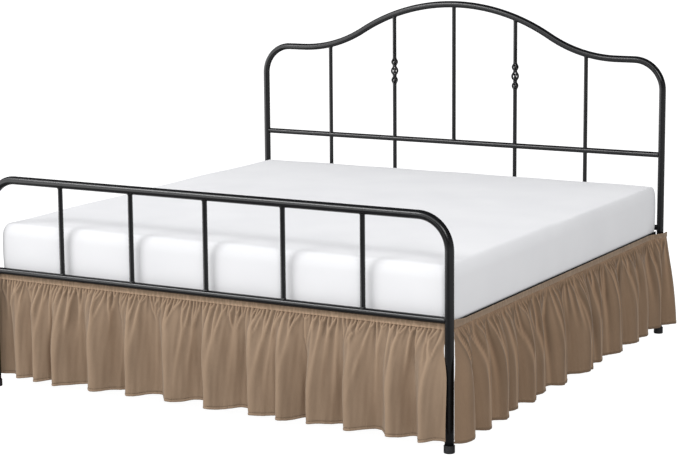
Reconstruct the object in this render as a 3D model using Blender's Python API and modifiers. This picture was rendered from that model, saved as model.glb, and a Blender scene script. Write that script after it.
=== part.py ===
"""A gathered bed skirt with split corners, hanging round a metal tube bed with its mattress.

Sizes are in metres and +Z is up. The pieces are laid out from the middle of the
footboard's plane on the floor: X runs across the bed and Y towards the headboard.
One empty then carries everything, so that the origin is the middle of the floor
under the bed.
"""

import math
from collections import namedtuple

import bmesh
import bpy
from mathutils import Vector

# Clearances
GAP = 0.0003            # between rigid pieces that meet
LEAD = 0.004            # straight end of each bend, so that it meets its neighbour square

# Overall layout
LENGTH_CENTRE = 1.00677 # from the footboard's plane to the middle of the whole
POST_X = 1.000          # centre of each post
HEAD_Y = 2.080          # headboard's plane

# Footboard: one tube frame with a crossbar and bars
FOOT_TUBE = 0.0165      # radii
FOOT_CROSS = 0.013
FOOT_BAR = 0.0095
FOOT_TOP_Z = 0.834
FOOT_CROSS_Z = 0.470
FOOT_BEND = 0.120
FOOT_BAR_X = (-0.660, -0.333, 0.0, 0.333, 0.660)

# Headboard: arched tube with level shoulders, crossbar, lower bar and spindles
HEAD_TUBE = 0.0150
HEAD_CROSS = 0.012
SPINDLE = 0.0092
HEAD_BEND = 0.130
ARCH_TOP_Z = 1.4190
ARCH_RADIUS = 0.913     # centre of the arch
FLARE_RADIUS = 0.621    # where it turns back up to level
ARCH_TURN = math.radians(31.0)
HEAD_CROSS_Z = 0.790
HEAD_LOWER_Z = 0.470
SPINDLE_X = (-0.645, -0.305, 0.0, 0.305, 0.645)
SHOULDER_Z = ARCH_TOP_Z - (ARCH_RADIUS + FLARE_RADIUS) * (1 - math.cos(ARCH_TURN))

# Floor caps under the posts
CAP_RADIUS = 0.0200
CAP_HEIGHT = 0.028

# Base that carries the mattress
RAIL_X = 0.9835         # inner face of the side rail's upright leg
RAIL_WALL = 0.003
RAIL_BOTTOM = 0.4234
RAIL_TOP = 0.455
RAIL_SHELF = 0.035      # how far its level leg reaches inwards
RAIL_START_Y = 0.0245   # just behind the foot panel's heading
FOOT_RAIL_IN = 0.034    # end rails stand this far inside the end planes
HEAD_RAIL_IN = 0.028
END_RAIL_HEIGHT = 0.050
SLAT_THICK = 0.020
SLAT_WIDTH = 0.070
SLAT_COUNT = 7
CENTRE_WIDTH = 0.040
CENTRE_HEIGHT = 0.030
LEG_RADIUS = 0.0125
LEG_Y = (0.700, 1.400)

# Mattress
MATTRESS_X = 0.981      # half width
MATTRESS_Y = (0.030, 2.066)
MATTRESS_BOTTOM = 0.4470
MATTRESS_EDGE_Z = 0.652
MATTRESS_CROWN = 0.013
MATTRESS_ROUND = 0.020

# Skirt
BAND_BOTTOM = 0.4315
BAND_TOP = 0.4525
BAND_THICK = 0.0025
RUFFLE_TOP = BAND_BOTTOM - GAP
HEM_Z = 0.048
CLOTH = 0.002
FOOT_BAND_Y = 0.0208
FOOT_LEFT_X = -1.004    # ends of the foot panel; the left one runs behind the post
FOOT_RIGHT_X = 0.9795
FOOT_RIGHT_HEM_X = 1.003  # lower down the right end swings in front of the post
SIDE_BAND_X = 0.9915
SIDE_BAND_START_Y = 0.040
SIDE_START_Y = 0.0545    # front edge of the side panel under its band
SIDE_END_Y = 2.095
LAP_START_Y = 1.960     # from here the side panel turns out round the head post
LAP_LENGTH = 0.100
LAP_OUT = 0.034
FRONT_EDGE_FLARE = 0.0845  # how far the front edge swings forward down to the hem
FRONT_EDGE_TUCK = 0.006   # and low down it comes in close in front of the post
FOOT_BELL = 3.5         # folds open quickly under the band, then hang straight
SIDE_BELL = 4.0
END_BELL = 1.3          # the free far edge flares more evenly
END_LENGTH = 0.150
FOOT_LEAN = 0.022       # a ridge starts this far along from its place at the hem
SIDE_LEAN = 0.025
STRAIGHT = 0.012        # share of the drop that hangs straight down from the band
ROWS = (0.0, STRAIGHT, 0.09, 0.20, 0.35, 0.58, 1.0)  # levels, shares of the drop
RIDGE_STEPS = 3         # faces up to a ridge, and down from it
VALLEY_STEPS = 4

# Main folds at the hem. Each row is one fold: where its ridge is along the panel and
# how far it stands out, then the same for the valley after it.
Fold = namedtuple("Fold", "ridge ridge_out valley valley_out")

FOOT_START = Fold(FOOT_LEFT_X, -0.028, -0.948, -0.042)
FOOT_FOLDS = (
    Fold(-0.882, 0.014, -0.822, -0.018),
    Fold(-0.788, 0.028, -0.722, -0.011),
    Fold(-0.680, 0.044, -0.580, -0.031),
    Fold(-0.506, 0.050, -0.407, -0.036),
    Fold(-0.338, 0.038, -0.236, -0.031),
    Fold(-0.160, 0.039, -0.040, -0.027),
    Fold(0.028, 0.057, 0.158, -0.024),
    Fold(0.217, 0.054, 0.303, 0.017),
    Fold(0.338, 0.057, 0.424, -0.012),
    Fold(0.470, 0.062, 0.568, -0.007),
    Fold(0.626, 0.067, 0.726, 0.002),
    Fold(0.796, 0.068, 0.872, 0.010),
)
FOOT_END = Fold(0.923, 0.084, FOOT_RIGHT_HEM_X, 0.036)

SIDE_FRONT_OUT = 0.0475
SIDE_FOLDS = (
    Fold(0.045, 0.088, 0.105, 0.022),
    Fold(0.190, 0.084, 0.255, 0.018),
    Fold(0.352, 0.082, 0.410, 0.030),
    Fold(0.468, 0.062, 0.530, 0.018),
    Fold(0.608, 0.076, 0.670, 0.028),
    Fold(0.736, 0.056, 0.795, 0.015),
    Fold(0.905, 0.072, 0.985, 0.010),
    Fold(1.140, 0.082, 1.235, 0.020),
    Fold(1.312, 0.057, 1.368, 0.012),
    Fold(1.478, 0.074, 1.575, 0.010),
    Fold(1.692, 0.070, 1.742, 0.032),
    Fold(1.806, 0.060, 1.890, 0.012),
    Fold(1.990, 0.060, 2.035, 0.028),
)
SIDE_END_OUT = 0.086

# Turned ornament on two spindles: three small bodies, each height above the floor at
# its middle, its half height and its radius
Bead = namedtuple("Bead", "z half radius")
BEADS = (
    Bead(1.1460, 0.0165, 0.0160),
    Bead(1.1050, 0.0210, 0.0180),
    Bead(1.0620, 0.0165, 0.0156),
)
BEAD_SPINDLES = (-0.305, 0.305)


def clear_scene():
    for obj in list(bpy.data.objects):
        bpy.data.objects.remove(obj, do_unlink=True)


def new_collection(name):
    found = bpy.data.collections.new(name)
    bpy.context.scene.collection.children.link(found)
    return found


def new_material(name, colour, roughness, metallic=0.0):
    material = bpy.data.materials.new(name)
    material.use_nodes = True
    shader = material.node_tree.nodes["Principled BSDF"]
    shader.inputs["Base Color"].default_value = (*colour, 1.0)
    shader.inputs["Roughness"].default_value = roughness
    shader.inputs["Metallic"].default_value = metallic
    return material


clear_scene()
PARTS = new_collection("bed_skirt_on_bed")
CUTTERS = new_collection("bed_skirt_cutters")
CENTRE = bpy.data.objects.new("bed_centre", None)
CENTRE.location = (0.0, -LENGTH_CENTRE, 0.0)
PARTS.objects.link(CENTRE)

BLACK = new_material("black_enamel", (0.018, 0.019, 0.021), 0.38)
PLASTIC = new_material("black_plastic", (0.012, 0.012, 0.012), 0.5)
TAUPE = new_material("taupe_cloth", (0.262, 0.188, 0.133), 0.9)
TICKING = new_material("white_ticking", (0.82, 0.82, 0.83), 0.85)
PINE = new_material("pine", (0.56, 0.40, 0.24), 0.6)


def own_material(base, name):
    """Each piece has a material of its own, so that it can be tinted alone."""
    material = base.copy()
    material.name = f"{name}_{base.name}"
    return material


def place(name, data, material=None, location=(0, 0, 0), rotation=None, cutter=False):
    obj = bpy.data.objects.new(name, data)
    (CUTTERS if cutter else PARTS).objects.link(obj)
    obj.parent = CENTRE
    obj.location = location
    if rotation is not None:
        obj.rotation_mode = "QUATERNION"
        obj.rotation_quaternion = rotation
    if cutter:
        obj.hide_render = True
        obj.display_type = "WIRE"
    else:
        data.materials.append(own_material(material, name))
    return obj


def round_mesh(mesh, angle=40.0):
    mesh.shade_smooth()
    mesh.set_sharp_from_angle(angle=math.radians(angle))


def rod(name, start, end, radius, material=None, sides=12, cutter=False):
    """A straight round bar between two points."""
    start, end = Vector(start), Vector(end)
    mesh = bpy.data.meshes.new(name)
    shape = bmesh.new()
    bmesh.ops.create_cone(
        shape,
        cap_ends=True,
        segments=sides,
        radius1=radius,
        radius2=radius,
        depth=(end - start).length,
    )
    shape.to_mesh(mesh)
    shape.free()
    round_mesh(mesh)
    turn = Vector((0, 0, 1)).rotation_difference(end - start)
    return place(name, mesh, material, (start + end) / 2, turn, cutter)


def box(name, low, high, material):
    low, high = Vector(low), Vector(high)
    mesh = bpy.data.meshes.new(name)
    shape = bmesh.new()
    bmesh.ops.create_cube(shape, size=1.0)
    bmesh.ops.scale(shape, vec=high - low, verts=shape.verts)
    shape.to_mesh(mesh)
    shape.free()
    return place(name, mesh, material, (low + high) / 2)


def bent_curve(name, points, radius, resolution=2):
    curve = bpy.data.curves.new(name, "CURVE")
    curve.dimensions = "3D"
    curve.bevel_depth = radius
    curve.bevel_resolution = resolution
    curve.use_fill_caps = True
    spline = curve.splines.new("POLY")
    spline.points.add(len(points) - 1)
    for point, where in zip(spline.points, points):
        point.co = (*where, 1.0)
    return curve


def bent_tube(name, points, radius, material):
    return place(name, bent_curve(name, points, radius), material)


def as_closed_mesh(obj, cutter):
    """The curve object as a mesh object with its caps joined to its sides."""
    bpy.context.view_layer.update()
    graph = bpy.context.evaluated_depsgraph_get()
    mesh = bpy.data.meshes.new_from_object(obj.evaluated_get(graph))
    shape = bmesh.new()
    shape.from_mesh(mesh)
    bmesh.ops.remove_doubles(shape, verts=shape.verts, dist=1e-6)
    bmesh.ops.recalc_face_normals(shape, faces=shape.faces)
    shape.to_mesh(mesh)
    shape.free()
    name = obj.name
    bpy.data.objects.remove(obj, do_unlink=True)
    mesh.name = name
    made = place(name, mesh, cutter=cutter) if cutter else place(name, mesh, BLACK)
    return made


def cut(obj, *cutters):
    for cutter in cutters:
        modifier = obj.modifiers.new(f"cut_{cutter.name}", "BOOLEAN")
        modifier.operation = "DIFFERENCE"
        modifier.solver = "EXACT"
        modifier.object = cutter


def corner(x, y, z, radius, steps):
    """A quarter bend from a post up into a level rail, with a short straight end each way."""
    turned = arc((x, y, z), radius, 0, 90, steps)
    first = (x + radius, y, z - LEAD)
    last = (x - LEAD, y, z + radius)
    return [first] + turned + [last]


def arc(centre, radius, start, end, steps):
    """Points on a circle in an X-Z plane; angles in degrees from +X towards +Z."""
    found = []
    for i in range(steps + 1):
        angle = math.radians(start + (end - start) * i / steps)
        found.append(
            (
                centre[0] + radius * math.cos(angle),
                centre[1],
                centre[2] + radius * math.sin(angle),
            )
        )
    return found


def mirrored(points):
    return [(-x, y, z) for x, y, z in points]


# Footboard
def footboard():
    corner_z = FOOT_TOP_Z - FOOT_BEND
    corner_x = POST_X - FOOT_BEND
    for side, sign in (("right", 1), ("left", -1)):
        x = sign * POST_X
        rod(f"foot_cap_{side}", (x, 0, 0), (x, 0, CAP_HEIGHT), CAP_RADIUS, PLASTIC)
        rod(
            f"foot_post_{side}",
            (x, 0, CAP_HEIGHT + GAP),
            (x, 0, corner_z - LEAD - GAP),
            FOOT_TUBE,
            BLACK,
        )
        bend = corner(corner_x, 0, corner_z, FOOT_BEND, 6)
        bent_tube(
            f"foot_bend_{side}", bend if sign > 0 else mirrored(bend), FOOT_TUBE, BLACK
        )
    rod(
        "foot_top_rail",
        (-corner_x + LEAD + GAP, 0, FOOT_TOP_Z),
        (corner_x - LEAD - GAP, 0, FOOT_TOP_Z),
        FOOT_TUBE,
        BLACK,
    )
    inner = POST_X - 0.002
    crossbar = rod(
        "foot_crossbar",
        (-inner, 0, FOOT_CROSS_Z),
        (inner, 0, FOOT_CROSS_Z),
        FOOT_CROSS,
        BLACK,
    )
    post_cutters = [
        rod(
            f"cutter_foot_post_{side}",
            (sign * POST_X, 0, FOOT_CROSS_Z - 0.05),
            (sign * POST_X, 0, FOOT_CROSS_Z + 0.05),
            FOOT_TUBE + GAP,
            cutter=True,
        )
        for side, sign in (("right", 1), ("left", -1))
    ]
    cut(crossbar, *post_cutters)
    rail_cutter = rod(
        "cutter_foot_top_rail",
        (-corner_x, 0, FOOT_TOP_Z),
        (corner_x, 0, FOOT_TOP_Z),
        FOOT_TUBE + GAP,
        cutter=True,
    )
    cross_cutter = rod(
        "cutter_foot_crossbar",
        (-corner_x, 0, FOOT_CROSS_Z),
        (corner_x, 0, FOOT_CROSS_Z),
        FOOT_CROSS + GAP,
        cutter=True,
    )
    for number, x in enumerate(FOOT_BAR_X, 1):
        bar = rod(
            f"foot_bar_{number}",
            (x, 0, FOOT_CROSS_Z + 0.002),
            (x, 0, FOOT_TOP_Z - 0.002),
            FOOT_BAR,
            BLACK,
            sides=8,
        )
        cut(bar, rail_cutter, cross_cutter)


# Headboard
def arch_height(x):
    """Height of the arched tube's centre line above the floor."""
    x = abs(x)
    turn_x = ARCH_RADIUS * math.sin(ARCH_TURN)
    flat_x = turn_x + FLARE_RADIUS * math.sin(ARCH_TURN)
    if x <= turn_x:
        return ARCH_TOP_Z - ARCH_RADIUS + math.sqrt(ARCH_RADIUS**2 - x * x)
    if x <= flat_x:
        return SHOULDER_Z + FLARE_RADIUS - math.sqrt(FLARE_RADIUS**2 - (x - flat_x) ** 2)
    return SHOULDER_Z


def spindle_profile(bottom, top):
    """Radius and height down one turned spindle, from its top to its bottom."""
    found = [(SPINDLE, top)]
    for bead in BEADS:
        neck = SPINDLE * 0.8
        for step in range(7):
            angle = math.radians(-90 + 30 * step)
            out = max(neck, bead.radius * math.cos(angle))
            found.append((out, bead.z - bead.half * math.sin(angle)))
    found.append((SPINDLE, bottom))
    return found


def turned_spindle(name, x, bottom, top):
    """The profile turned about the spindle's axis, ends closed."""
    mesh = bpy.data.meshes.new(name)
    profile = spindle_profile(bottom, top)
    points = [(0.0, 0.0, top)] + [(r, 0.0, z) for r, z in profile] + [(0.0, 0.0, bottom)]
    mesh.from_pydata(points, [(i, i + 1) for i in range(len(points) - 1)], [])
    obj = place(name, mesh, BLACK, (x, HEAD_Y, 0))
    screw = obj.modifiers.new("turn", "SCREW")
    screw.axis = "Z"
    screw.steps = screw.render_steps = 8
    screw.use_merge_vertices = True
    screw.merge_threshold = 0.0001
    screw.use_smooth_shade = True
    return obj


def headboard():
    turn_x = ARCH_RADIUS * math.sin(ARCH_TURN)
    flat_x = turn_x + FLARE_RADIUS * math.sin(ARCH_TURN)
    corner_x = POST_X - HEAD_BEND
    corner_z = SHOULDER_Z - HEAD_BEND
    turn = math.degrees(ARCH_TURN)
    centre_z = ARCH_TOP_Z - ARCH_RADIUS
    slack = math.degrees(GAP / ARCH_RADIUS)
    arch = arc((0, HEAD_Y, centre_z), ARCH_RADIUS, 90 - turn + slack, 90 + turn - slack, 14)
    flare = arc(
        (flat_x, HEAD_Y, SHOULDER_Z + FLARE_RADIUS), FLARE_RADIUS, -90 - turn, -90, 6
    )
    shoulder = flare + [(corner_x - LEAD - GAP, HEAD_Y, SHOULDER_Z)]
    bend = corner(corner_x, HEAD_Y, corner_z, HEAD_BEND, 6)
    bent_tube("head_arch", arch, HEAD_TUBE, BLACK)
    for side, sign in (("right", 1), ("left", -1)):
        x = sign * POST_X
        keep = (lambda points: points) if sign > 0 else mirrored
        bent_tube(f"head_shoulder_{side}", keep(shoulder), HEAD_TUBE, BLACK)
        bent_tube(f"head_bend_{side}", keep(bend), HEAD_TUBE, BLACK)
        rod(f"head_cap_{side}", (x, HEAD_Y, 0), (x, HEAD_Y, CAP_HEIGHT), CAP_RADIUS, PLASTIC)
        rod(
            f"head_post_{side}",
            (x, HEAD_Y, CAP_HEIGHT + GAP),
            (x, HEAD_Y, corner_z - LEAD - GAP),
            HEAD_TUBE,
            BLACK,
        )

    # Cutters: the same tubes, larger by the gap
    whole = (
        list(reversed(mirrored(shoulder)))[:-1]
        + list(reversed(arch))
        + shoulder[1:]
    )
    arch_cutter = as_closed_mesh(
        place("cutter_head_arch", bent_curve("cutter_head_arch", whole, HEAD_TUBE + GAP), cutter=True),
        cutter=True,
    )
    post_cutters = [
        rod(
            f"cutter_head_post_{side}",
            (sign * POST_X, HEAD_Y, HEAD_LOWER_Z - 0.05),
            (sign * POST_X, HEAD_Y, HEAD_CROSS_Z + 0.05),
            HEAD_TUBE + GAP,
            cutter=True,
        )
        for side, sign in (("right", 1), ("left", -1))
    ]
    inner = POST_X - 0.002
    crossbar = rod(
        "head_crossbar",
        (-inner, HEAD_Y, HEAD_CROSS_Z),
        (inner, HEAD_Y, HEAD_CROSS_Z),
        HEAD_CROSS,
        BLACK,
    )
    lower = rod(
        "head_lower_bar",
        (-inner, HEAD_Y, HEAD_LOWER_Z),
        (inner, HEAD_Y, HEAD_LOWER_Z),
        HEAD_CROSS,
        BLACK,
    )
    cut(crossbar, *post_cutters)
    cut(lower, *post_cutters)
    cross_cutter = rod(
        "cutter_head_crossbar",
        (-corner_x, HEAD_Y, HEAD_CROSS_Z),
        (corner_x, HEAD_Y, HEAD_CROSS_Z),
        HEAD_CROSS + GAP,
        cutter=True,
    )
    lower_cutter = rod(
        "cutter_head_lower_bar",
        (-corner_x, HEAD_Y, HEAD_LOWER_Z),
        (corner_x, HEAD_Y, HEAD_LOWER_Z),
        HEAD_CROSS + GAP,
        cutter=True,
    )
    for number, x in enumerate(SPINDLE_X, 1):
        name = f"head_spindle_{number}"
        short = abs(x) < 0.01
        foot = HEAD_CROSS_Z if short else HEAD_LOWER_Z
        bottom, top = foot + 0.002, arch_height(x) - 0.002
        if x in BEAD_SPINDLES:
            spindle = turned_spindle(name, x, bottom, top)
        else:
            spindle = rod(
                name, (x, HEAD_Y, bottom), (x, HEAD_Y, top), SPINDLE, BLACK, sides=8
            )
        cut(spindle, arch_cutter, cross_cutter if short else lower_cutter)
        if not short:
            # the spindle runs on down through a hole in the crossbar
            hole = rod(
                f"cutter_spindle_{number}",
                (x, HEAD_Y, HEAD_CROSS_Z - 0.03),
                (x, HEAD_Y, HEAD_CROSS_Z + 0.03),
                SPINDLE + 2 * GAP,
                sides=8,
                cutter=True,
            )
            cut(crossbar, hole)


# Base under the mattress
def side_rail(side, sign):
    """An angle section: an upright leg outside, a level leg inwards at the bottom."""
    outer = RAIL_X + RAIL_WALL
    inner = RAIL_X - RAIL_SHELF
    section = (
        (outer, RAIL_BOTTOM),
        (outer, RAIL_TOP),
        (RAIL_X, RAIL_TOP),
        (RAIL_X, RAIL_BOTTOM + RAIL_WALL),
        (inner, RAIL_BOTTOM + RAIL_WALL),
        (inner, RAIL_BOTTOM),
    )
    low = RAIL_START_Y
    high = HEAD_Y - HEAD_TUBE - GAP
    curve = bpy.data.curves.new(f"side_rail_{side}", "CURVE")
    curve.dimensions = "2D"
    curve.fill_mode = "BOTH"
    curve.extrude = (high - low) / 2
    spline = curve.splines.new("POLY")
    spline.points.add(len(section) - 1)
    spline.use_cyclic_u = True
    for point, (x, z) in zip(spline.points, section):
        point.co = (sign * x, z, 0, 1.0)
    turn = Vector((0, 0, 1)).rotation_difference(Vector((0, -1, 0)))
    return place(f"side_rail_{side}", curve, BLACK, (0, (low + high) / 2, 0), turn)


def base():
    for side, sign in (("right", 1), ("left", -1)):
        side_rail(side, sign)
    shelf = RAIL_BOTTOM + RAIL_WALL + GAP
    slat_top = shelf + SLAT_THICK
    rail_low = slat_top - END_RAIL_HEIGHT
    reach = RAIL_X - RAIL_SHELF - GAP
    foot_out = FOOT_RAIL_IN
    head_out = HEAD_Y - HEAD_RAIL_IN
    box(
        "foot_rail",
        (-reach, foot_out, rail_low),
        (reach, foot_out + RAIL_WALL, slat_top),
        BLACK,
    )
    box(
        "head_rail",
        (-reach, head_out - RAIL_WALL, rail_low),
        (reach, head_out, slat_top),
        BLACK,
    )
    centre_top = shelf - GAP
    box(
        "centre_rail",
        (-CENTRE_WIDTH / 2, foot_out + RAIL_WALL + GAP, centre_top - CENTRE_HEIGHT),
        (CENTRE_WIDTH / 2, head_out - RAIL_WALL - GAP, centre_top),
        BLACK,
    )
    for end, y in zip(("foot", "head"), LEG_Y):
        rod(
            f"centre_leg_{end}",
            (0, y, 0),
            (0, y, centre_top - CENTRE_HEIGHT - GAP),
            LEG_RADIUS,
            BLACK,
        )
    first, last = foot_out + 0.090, head_out - 0.090
    for number in range(SLAT_COUNT):
        y = first + (last - first) * number / (SLAT_COUNT - 1)
        box(
            f"slat_{number + 1}",
            (-RAIL_X + 0.0035, y - SLAT_WIDTH / 2, shelf),
            (RAIL_X - 0.0035, y + SLAT_WIDTH / 2, slat_top),
            PINE,
        )


# Mattress
def mattress():
    """A block whose top is crowned, with every edge rounded."""
    mesh = bpy.data.meshes.new("mattress")
    shape = bmesh.new()
    bmesh.ops.create_cube(shape, size=1.0)
    middle_y = sum(MATTRESS_Y) / 2
    half_y = (MATTRESS_Y[1] - MATTRESS_Y[0]) / 2
    height = MATTRESS_EDGE_Z - MATTRESS_BOTTOM
    bmesh.ops.scale(
        shape, vec=(2 * MATTRESS_X, 2 * half_y, height), verts=shape.verts
    )
    top = [face for face in shape.faces if face.normal.z > 0.5]
    edges = list({edge for face in top for edge in face.edges})
    bmesh.ops.subdivide_edges(shape, edges=edges, cuts=5, use_grid_fill=True)
    for vert in shape.verts:
        if vert.co.z > 0:
            across = 1 - (vert.co.x / MATTRESS_X) ** 2
            along = 1 - (vert.co.y / half_y) ** 2
            vert.co.z += MATTRESS_CROWN * (max(0.0, across) * max(0.0, along)) ** 0.5
    shape.to_mesh(mesh)
    shape.free()
    middle_z = (MATTRESS_EDGE_Z + MATTRESS_BOTTOM) / 2
    obj = place("mattress", mesh, TICKING, (0, middle_y, middle_z))
    bevel = obj.modifiers.new("round", "BEVEL")
    bevel.width = MATTRESS_ROUND
    bevel.segments = 4
    bevel.limit_method = "ANGLE"
    bevel.angle_limit = math.radians(40)
    round_mesh(mesh, 60)
    return obj


# Skirt
def smooth(value):
    value = min(1.0, max(0.0, value))
    return value * value * (3 - 2 * value)


def band_x(y):
    """The side panel's heading runs straight, then turns out round the head post."""
    return SIDE_BAND_X + LAP_OUT * smooth((y - LAP_START_Y) / LAP_LENGTH)


def wave_points(marks):
    """Places along the hem through ridges and valleys, rounded at each of them."""
    found = []
    for here, there in zip(marks, marks[1:]):
        rising = there[1] > here[1]
        steps = RIDGE_STEPS if rising else VALLEY_STEPS
        for i in range(steps):
            k = i / steps
            eased = (1 - math.cos(math.pi * k)) / 2
            found.append(
                (here[0] + (there[0] - here[0]) * k, here[1] + (there[1] - here[1]) * eased)
            )
    found.append(marks[-1])
    return found


def cloth_sheet(name, columns, rows, where, thick, material):
    """A sheet whose corners are given by where(column, row), thickened evenly both ways."""
    mesh = bpy.data.meshes.new(name)
    shape = bmesh.new()
    bmesh.ops.create_grid(shape, x_segments=columns, y_segments=rows, size=0.5)
    for vert in shape.verts:
        column = round((vert.co.x + 0.5) * columns)
        row = round((vert.co.y + 0.5) * rows)
        vert.co = where(column, row)
    shape.to_mesh(mesh)
    shape.free()
    mesh.shade_smooth()
    obj = place(name, mesh, material)
    sheet = obj.modifiers.new("thickness", "SOLIDIFY")
    sheet.thickness = thick
    sheet.offset = 0.0
    sheet.use_rim = True
    return obj


def opened(down, bell):
    """Share of a fold's full depth at a level: quick under the band, then hanging."""
    below = max(0.0, down - STRAIGHT) / (1 - STRAIGHT)
    return 1 - (1 - below) ** bell


def inwards(distance, length):
    """1 in the middle of a panel, falling to 0 at an edge that is this far away."""
    return smooth(distance / length)


def foot_skirt():
    marks = [(FOOT_START.ridge, FOOT_START.ridge_out), (FOOT_START.valley, FOOT_START.valley_out)]
    for fold in FOOT_FOLDS:
        marks += [(fold.ridge, fold.ridge_out), (fold.valley, fold.valley_out)]
    marks += [(FOOT_END.ridge, FOOT_END.ridge_out), (FOOT_END.valley, FOOT_END.valley_out)]
    hem = wave_points(marks)

    def ruffle(column, row):
        down = ROWS[row]
        share = opened(down, FOOT_BELL)
        x, out = hem[column]
        lean = FOOT_LEAN * inwards(x - FOOT_LEFT_X, 0.12) * inwards(FOOT_RIGHT_HEM_X - x, 0.12)
        # the right end stays inside the post until it has come out in front of it
        last = FOOT_END.ridge
        beyond = max(0.0, x - last)
        held = (FOOT_RIGHT_HEM_X - FOOT_RIGHT_X) / (FOOT_RIGHT_HEM_X - last)
        x -= beyond * held * (1 - smooth((share - 0.45) / 0.50))
        y = FOOT_BAND_Y + (-out - FOOT_BAND_Y) * share
        return x - lean * (1 - share), y, RUFFLE_TOP + (HEM_Z - RUFFLE_TOP) * down

    cloth_sheet("ruffle_foot", len(hem) - 1, len(ROWS) - 1, ruffle, CLOTH, TAUPE)

    def band(column, row):
        x = FOOT_RIGHT_X if column else FOOT_LEFT_X
        return x, FOOT_BAND_Y, BAND_BOTTOM if row else BAND_TOP

    cloth_sheet("band_foot", 1, 1, band, BAND_THICK, TAUPE)


def side_skirt(side, sign):
    marks = [(SIDE_START_Y - FRONT_EDGE_FLARE, SIDE_FRONT_OUT)]
    for fold in SIDE_FOLDS:
        marks += [(fold.ridge, fold.ridge_out), (fold.valley, fold.valley_out)]
    marks.append((SIDE_END_Y, SIDE_END_OUT))
    hem = wave_points(marks)
    first = hem[0][0]

    def ruffle(column, row):
        down = ROWS[row]
        hem_y, out = hem[column]
        to_end = smooth((SIDE_END_Y - hem_y) / END_LENGTH)
        share = opened(down, END_BELL + (SIDE_BELL - END_BELL) * to_end)
        # at the band the panel starts behind the post; its front edge swings
        # forward of the post on the way down, and the rest moves with it less and less
        start = SIDE_START_Y - first
        top_y = hem_y + start * (1 - smooth((hem_y - first) / (6 * start)))
        top_y += SIDE_LEAN * inwards(hem_y - first, 0.12) * inwards(SIDE_END_Y - hem_y, 0.12)
        y = top_y + (hem_y - top_y) * share
        y -= FRONT_EDGE_TUCK * smooth((share - 0.6) / 0.4) * (1 - inwards(hem_y - first, 0.07))
        top_x = band_x(top_y)
        x = top_x + (SIDE_BAND_X + out - top_x) * share
        return sign * x, y, RUFFLE_TOP + (HEM_Z - RUFFLE_TOP) * down

    cloth_sheet(f"ruffle_{side}", len(hem) - 1, len(ROWS) - 1, ruffle, CLOTH, TAUPE)

    line = [SIDE_BAND_START_Y, LAP_START_Y]
    line += [LAP_START_Y + LAP_LENGTH * i / 6 for i in range(1, 7)]
    line.append(SIDE_END_Y)

    def band(column, row):
        y = line[column]
        return sign * band_x(y), y, BAND_BOTTOM if row else BAND_TOP

    cloth_sheet(f"band_{side}", len(line) - 1, 1, band, BAND_THICK, TAUPE)


footboard()
headboard()
base()
mattress()
foot_skirt()
for one_side, one_sign in (("right", 1), ("left", -1)):
    side_skirt(one_side, one_sign)
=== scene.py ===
"""The looks of a gathered bed skirt on its bed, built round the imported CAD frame."""

import math
from collections import namedtuple

import bpy
import numpy as np
from mathutils import Matrix, Vector


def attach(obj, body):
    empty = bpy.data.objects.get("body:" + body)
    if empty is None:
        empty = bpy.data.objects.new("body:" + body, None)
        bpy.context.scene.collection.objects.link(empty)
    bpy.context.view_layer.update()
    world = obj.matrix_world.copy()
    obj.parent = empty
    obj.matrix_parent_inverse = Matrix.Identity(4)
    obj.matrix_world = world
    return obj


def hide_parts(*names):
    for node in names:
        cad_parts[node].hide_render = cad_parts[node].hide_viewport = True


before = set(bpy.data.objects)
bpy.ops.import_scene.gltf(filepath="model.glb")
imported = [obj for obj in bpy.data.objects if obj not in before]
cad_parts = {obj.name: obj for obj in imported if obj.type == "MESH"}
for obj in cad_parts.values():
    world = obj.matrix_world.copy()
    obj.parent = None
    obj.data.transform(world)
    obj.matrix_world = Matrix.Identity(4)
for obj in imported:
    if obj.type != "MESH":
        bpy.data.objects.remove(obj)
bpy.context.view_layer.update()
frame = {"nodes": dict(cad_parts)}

# ---------------------------------------------------------------------------
# Sizes, in metres, laid out as in the CAD: X across, Y from the footboard's
# plane to the headboard, Z up. SHIFT moves them to the row frame.
SHIFT = 1.00677
POST_X = 1.000
HEAD_Y = 2.080

FOOT_TUBE, FOOT_CROSS, FOOT_BAR = 0.0165, 0.013, 0.0095
FOOT_TOP_Z, FOOT_CROSS_Z, FOOT_BEND = 0.834, 0.470, 0.120
FOOT_BAR_X = (-0.660, -0.333, 0.0, 0.333, 0.660)

HEAD_TUBE, HEAD_CROSS, SPINDLE = 0.0150, 0.012, 0.0092
HEAD_BEND = 0.130
ARCH_TOP_Z, ARCH_RADIUS, FLARE_RADIUS = 1.4190, 0.913, 0.621
ARCH_TURN = math.radians(31.0)
HEAD_CROSS_Z, HEAD_LOWER_Z = 0.790, 0.470
SPINDLE_X = (-0.645, -0.305, 0.0, 0.305, 0.645)
SHOULDER_Z = ARCH_TOP_Z - (ARCH_RADIUS + FLARE_RADIUS) * (1 - math.cos(ARCH_TURN))

CAP_RADIUS, CAP_HEIGHT = 0.0200, 0.028

MATTRESS_X = 0.981
MATTRESS_Y = (0.030, 2.066)
MATTRESS_BOTTOM, MATTRESS_EDGE_Z, MATTRESS_CROWN = 0.4470, 0.652, 0.013

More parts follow.
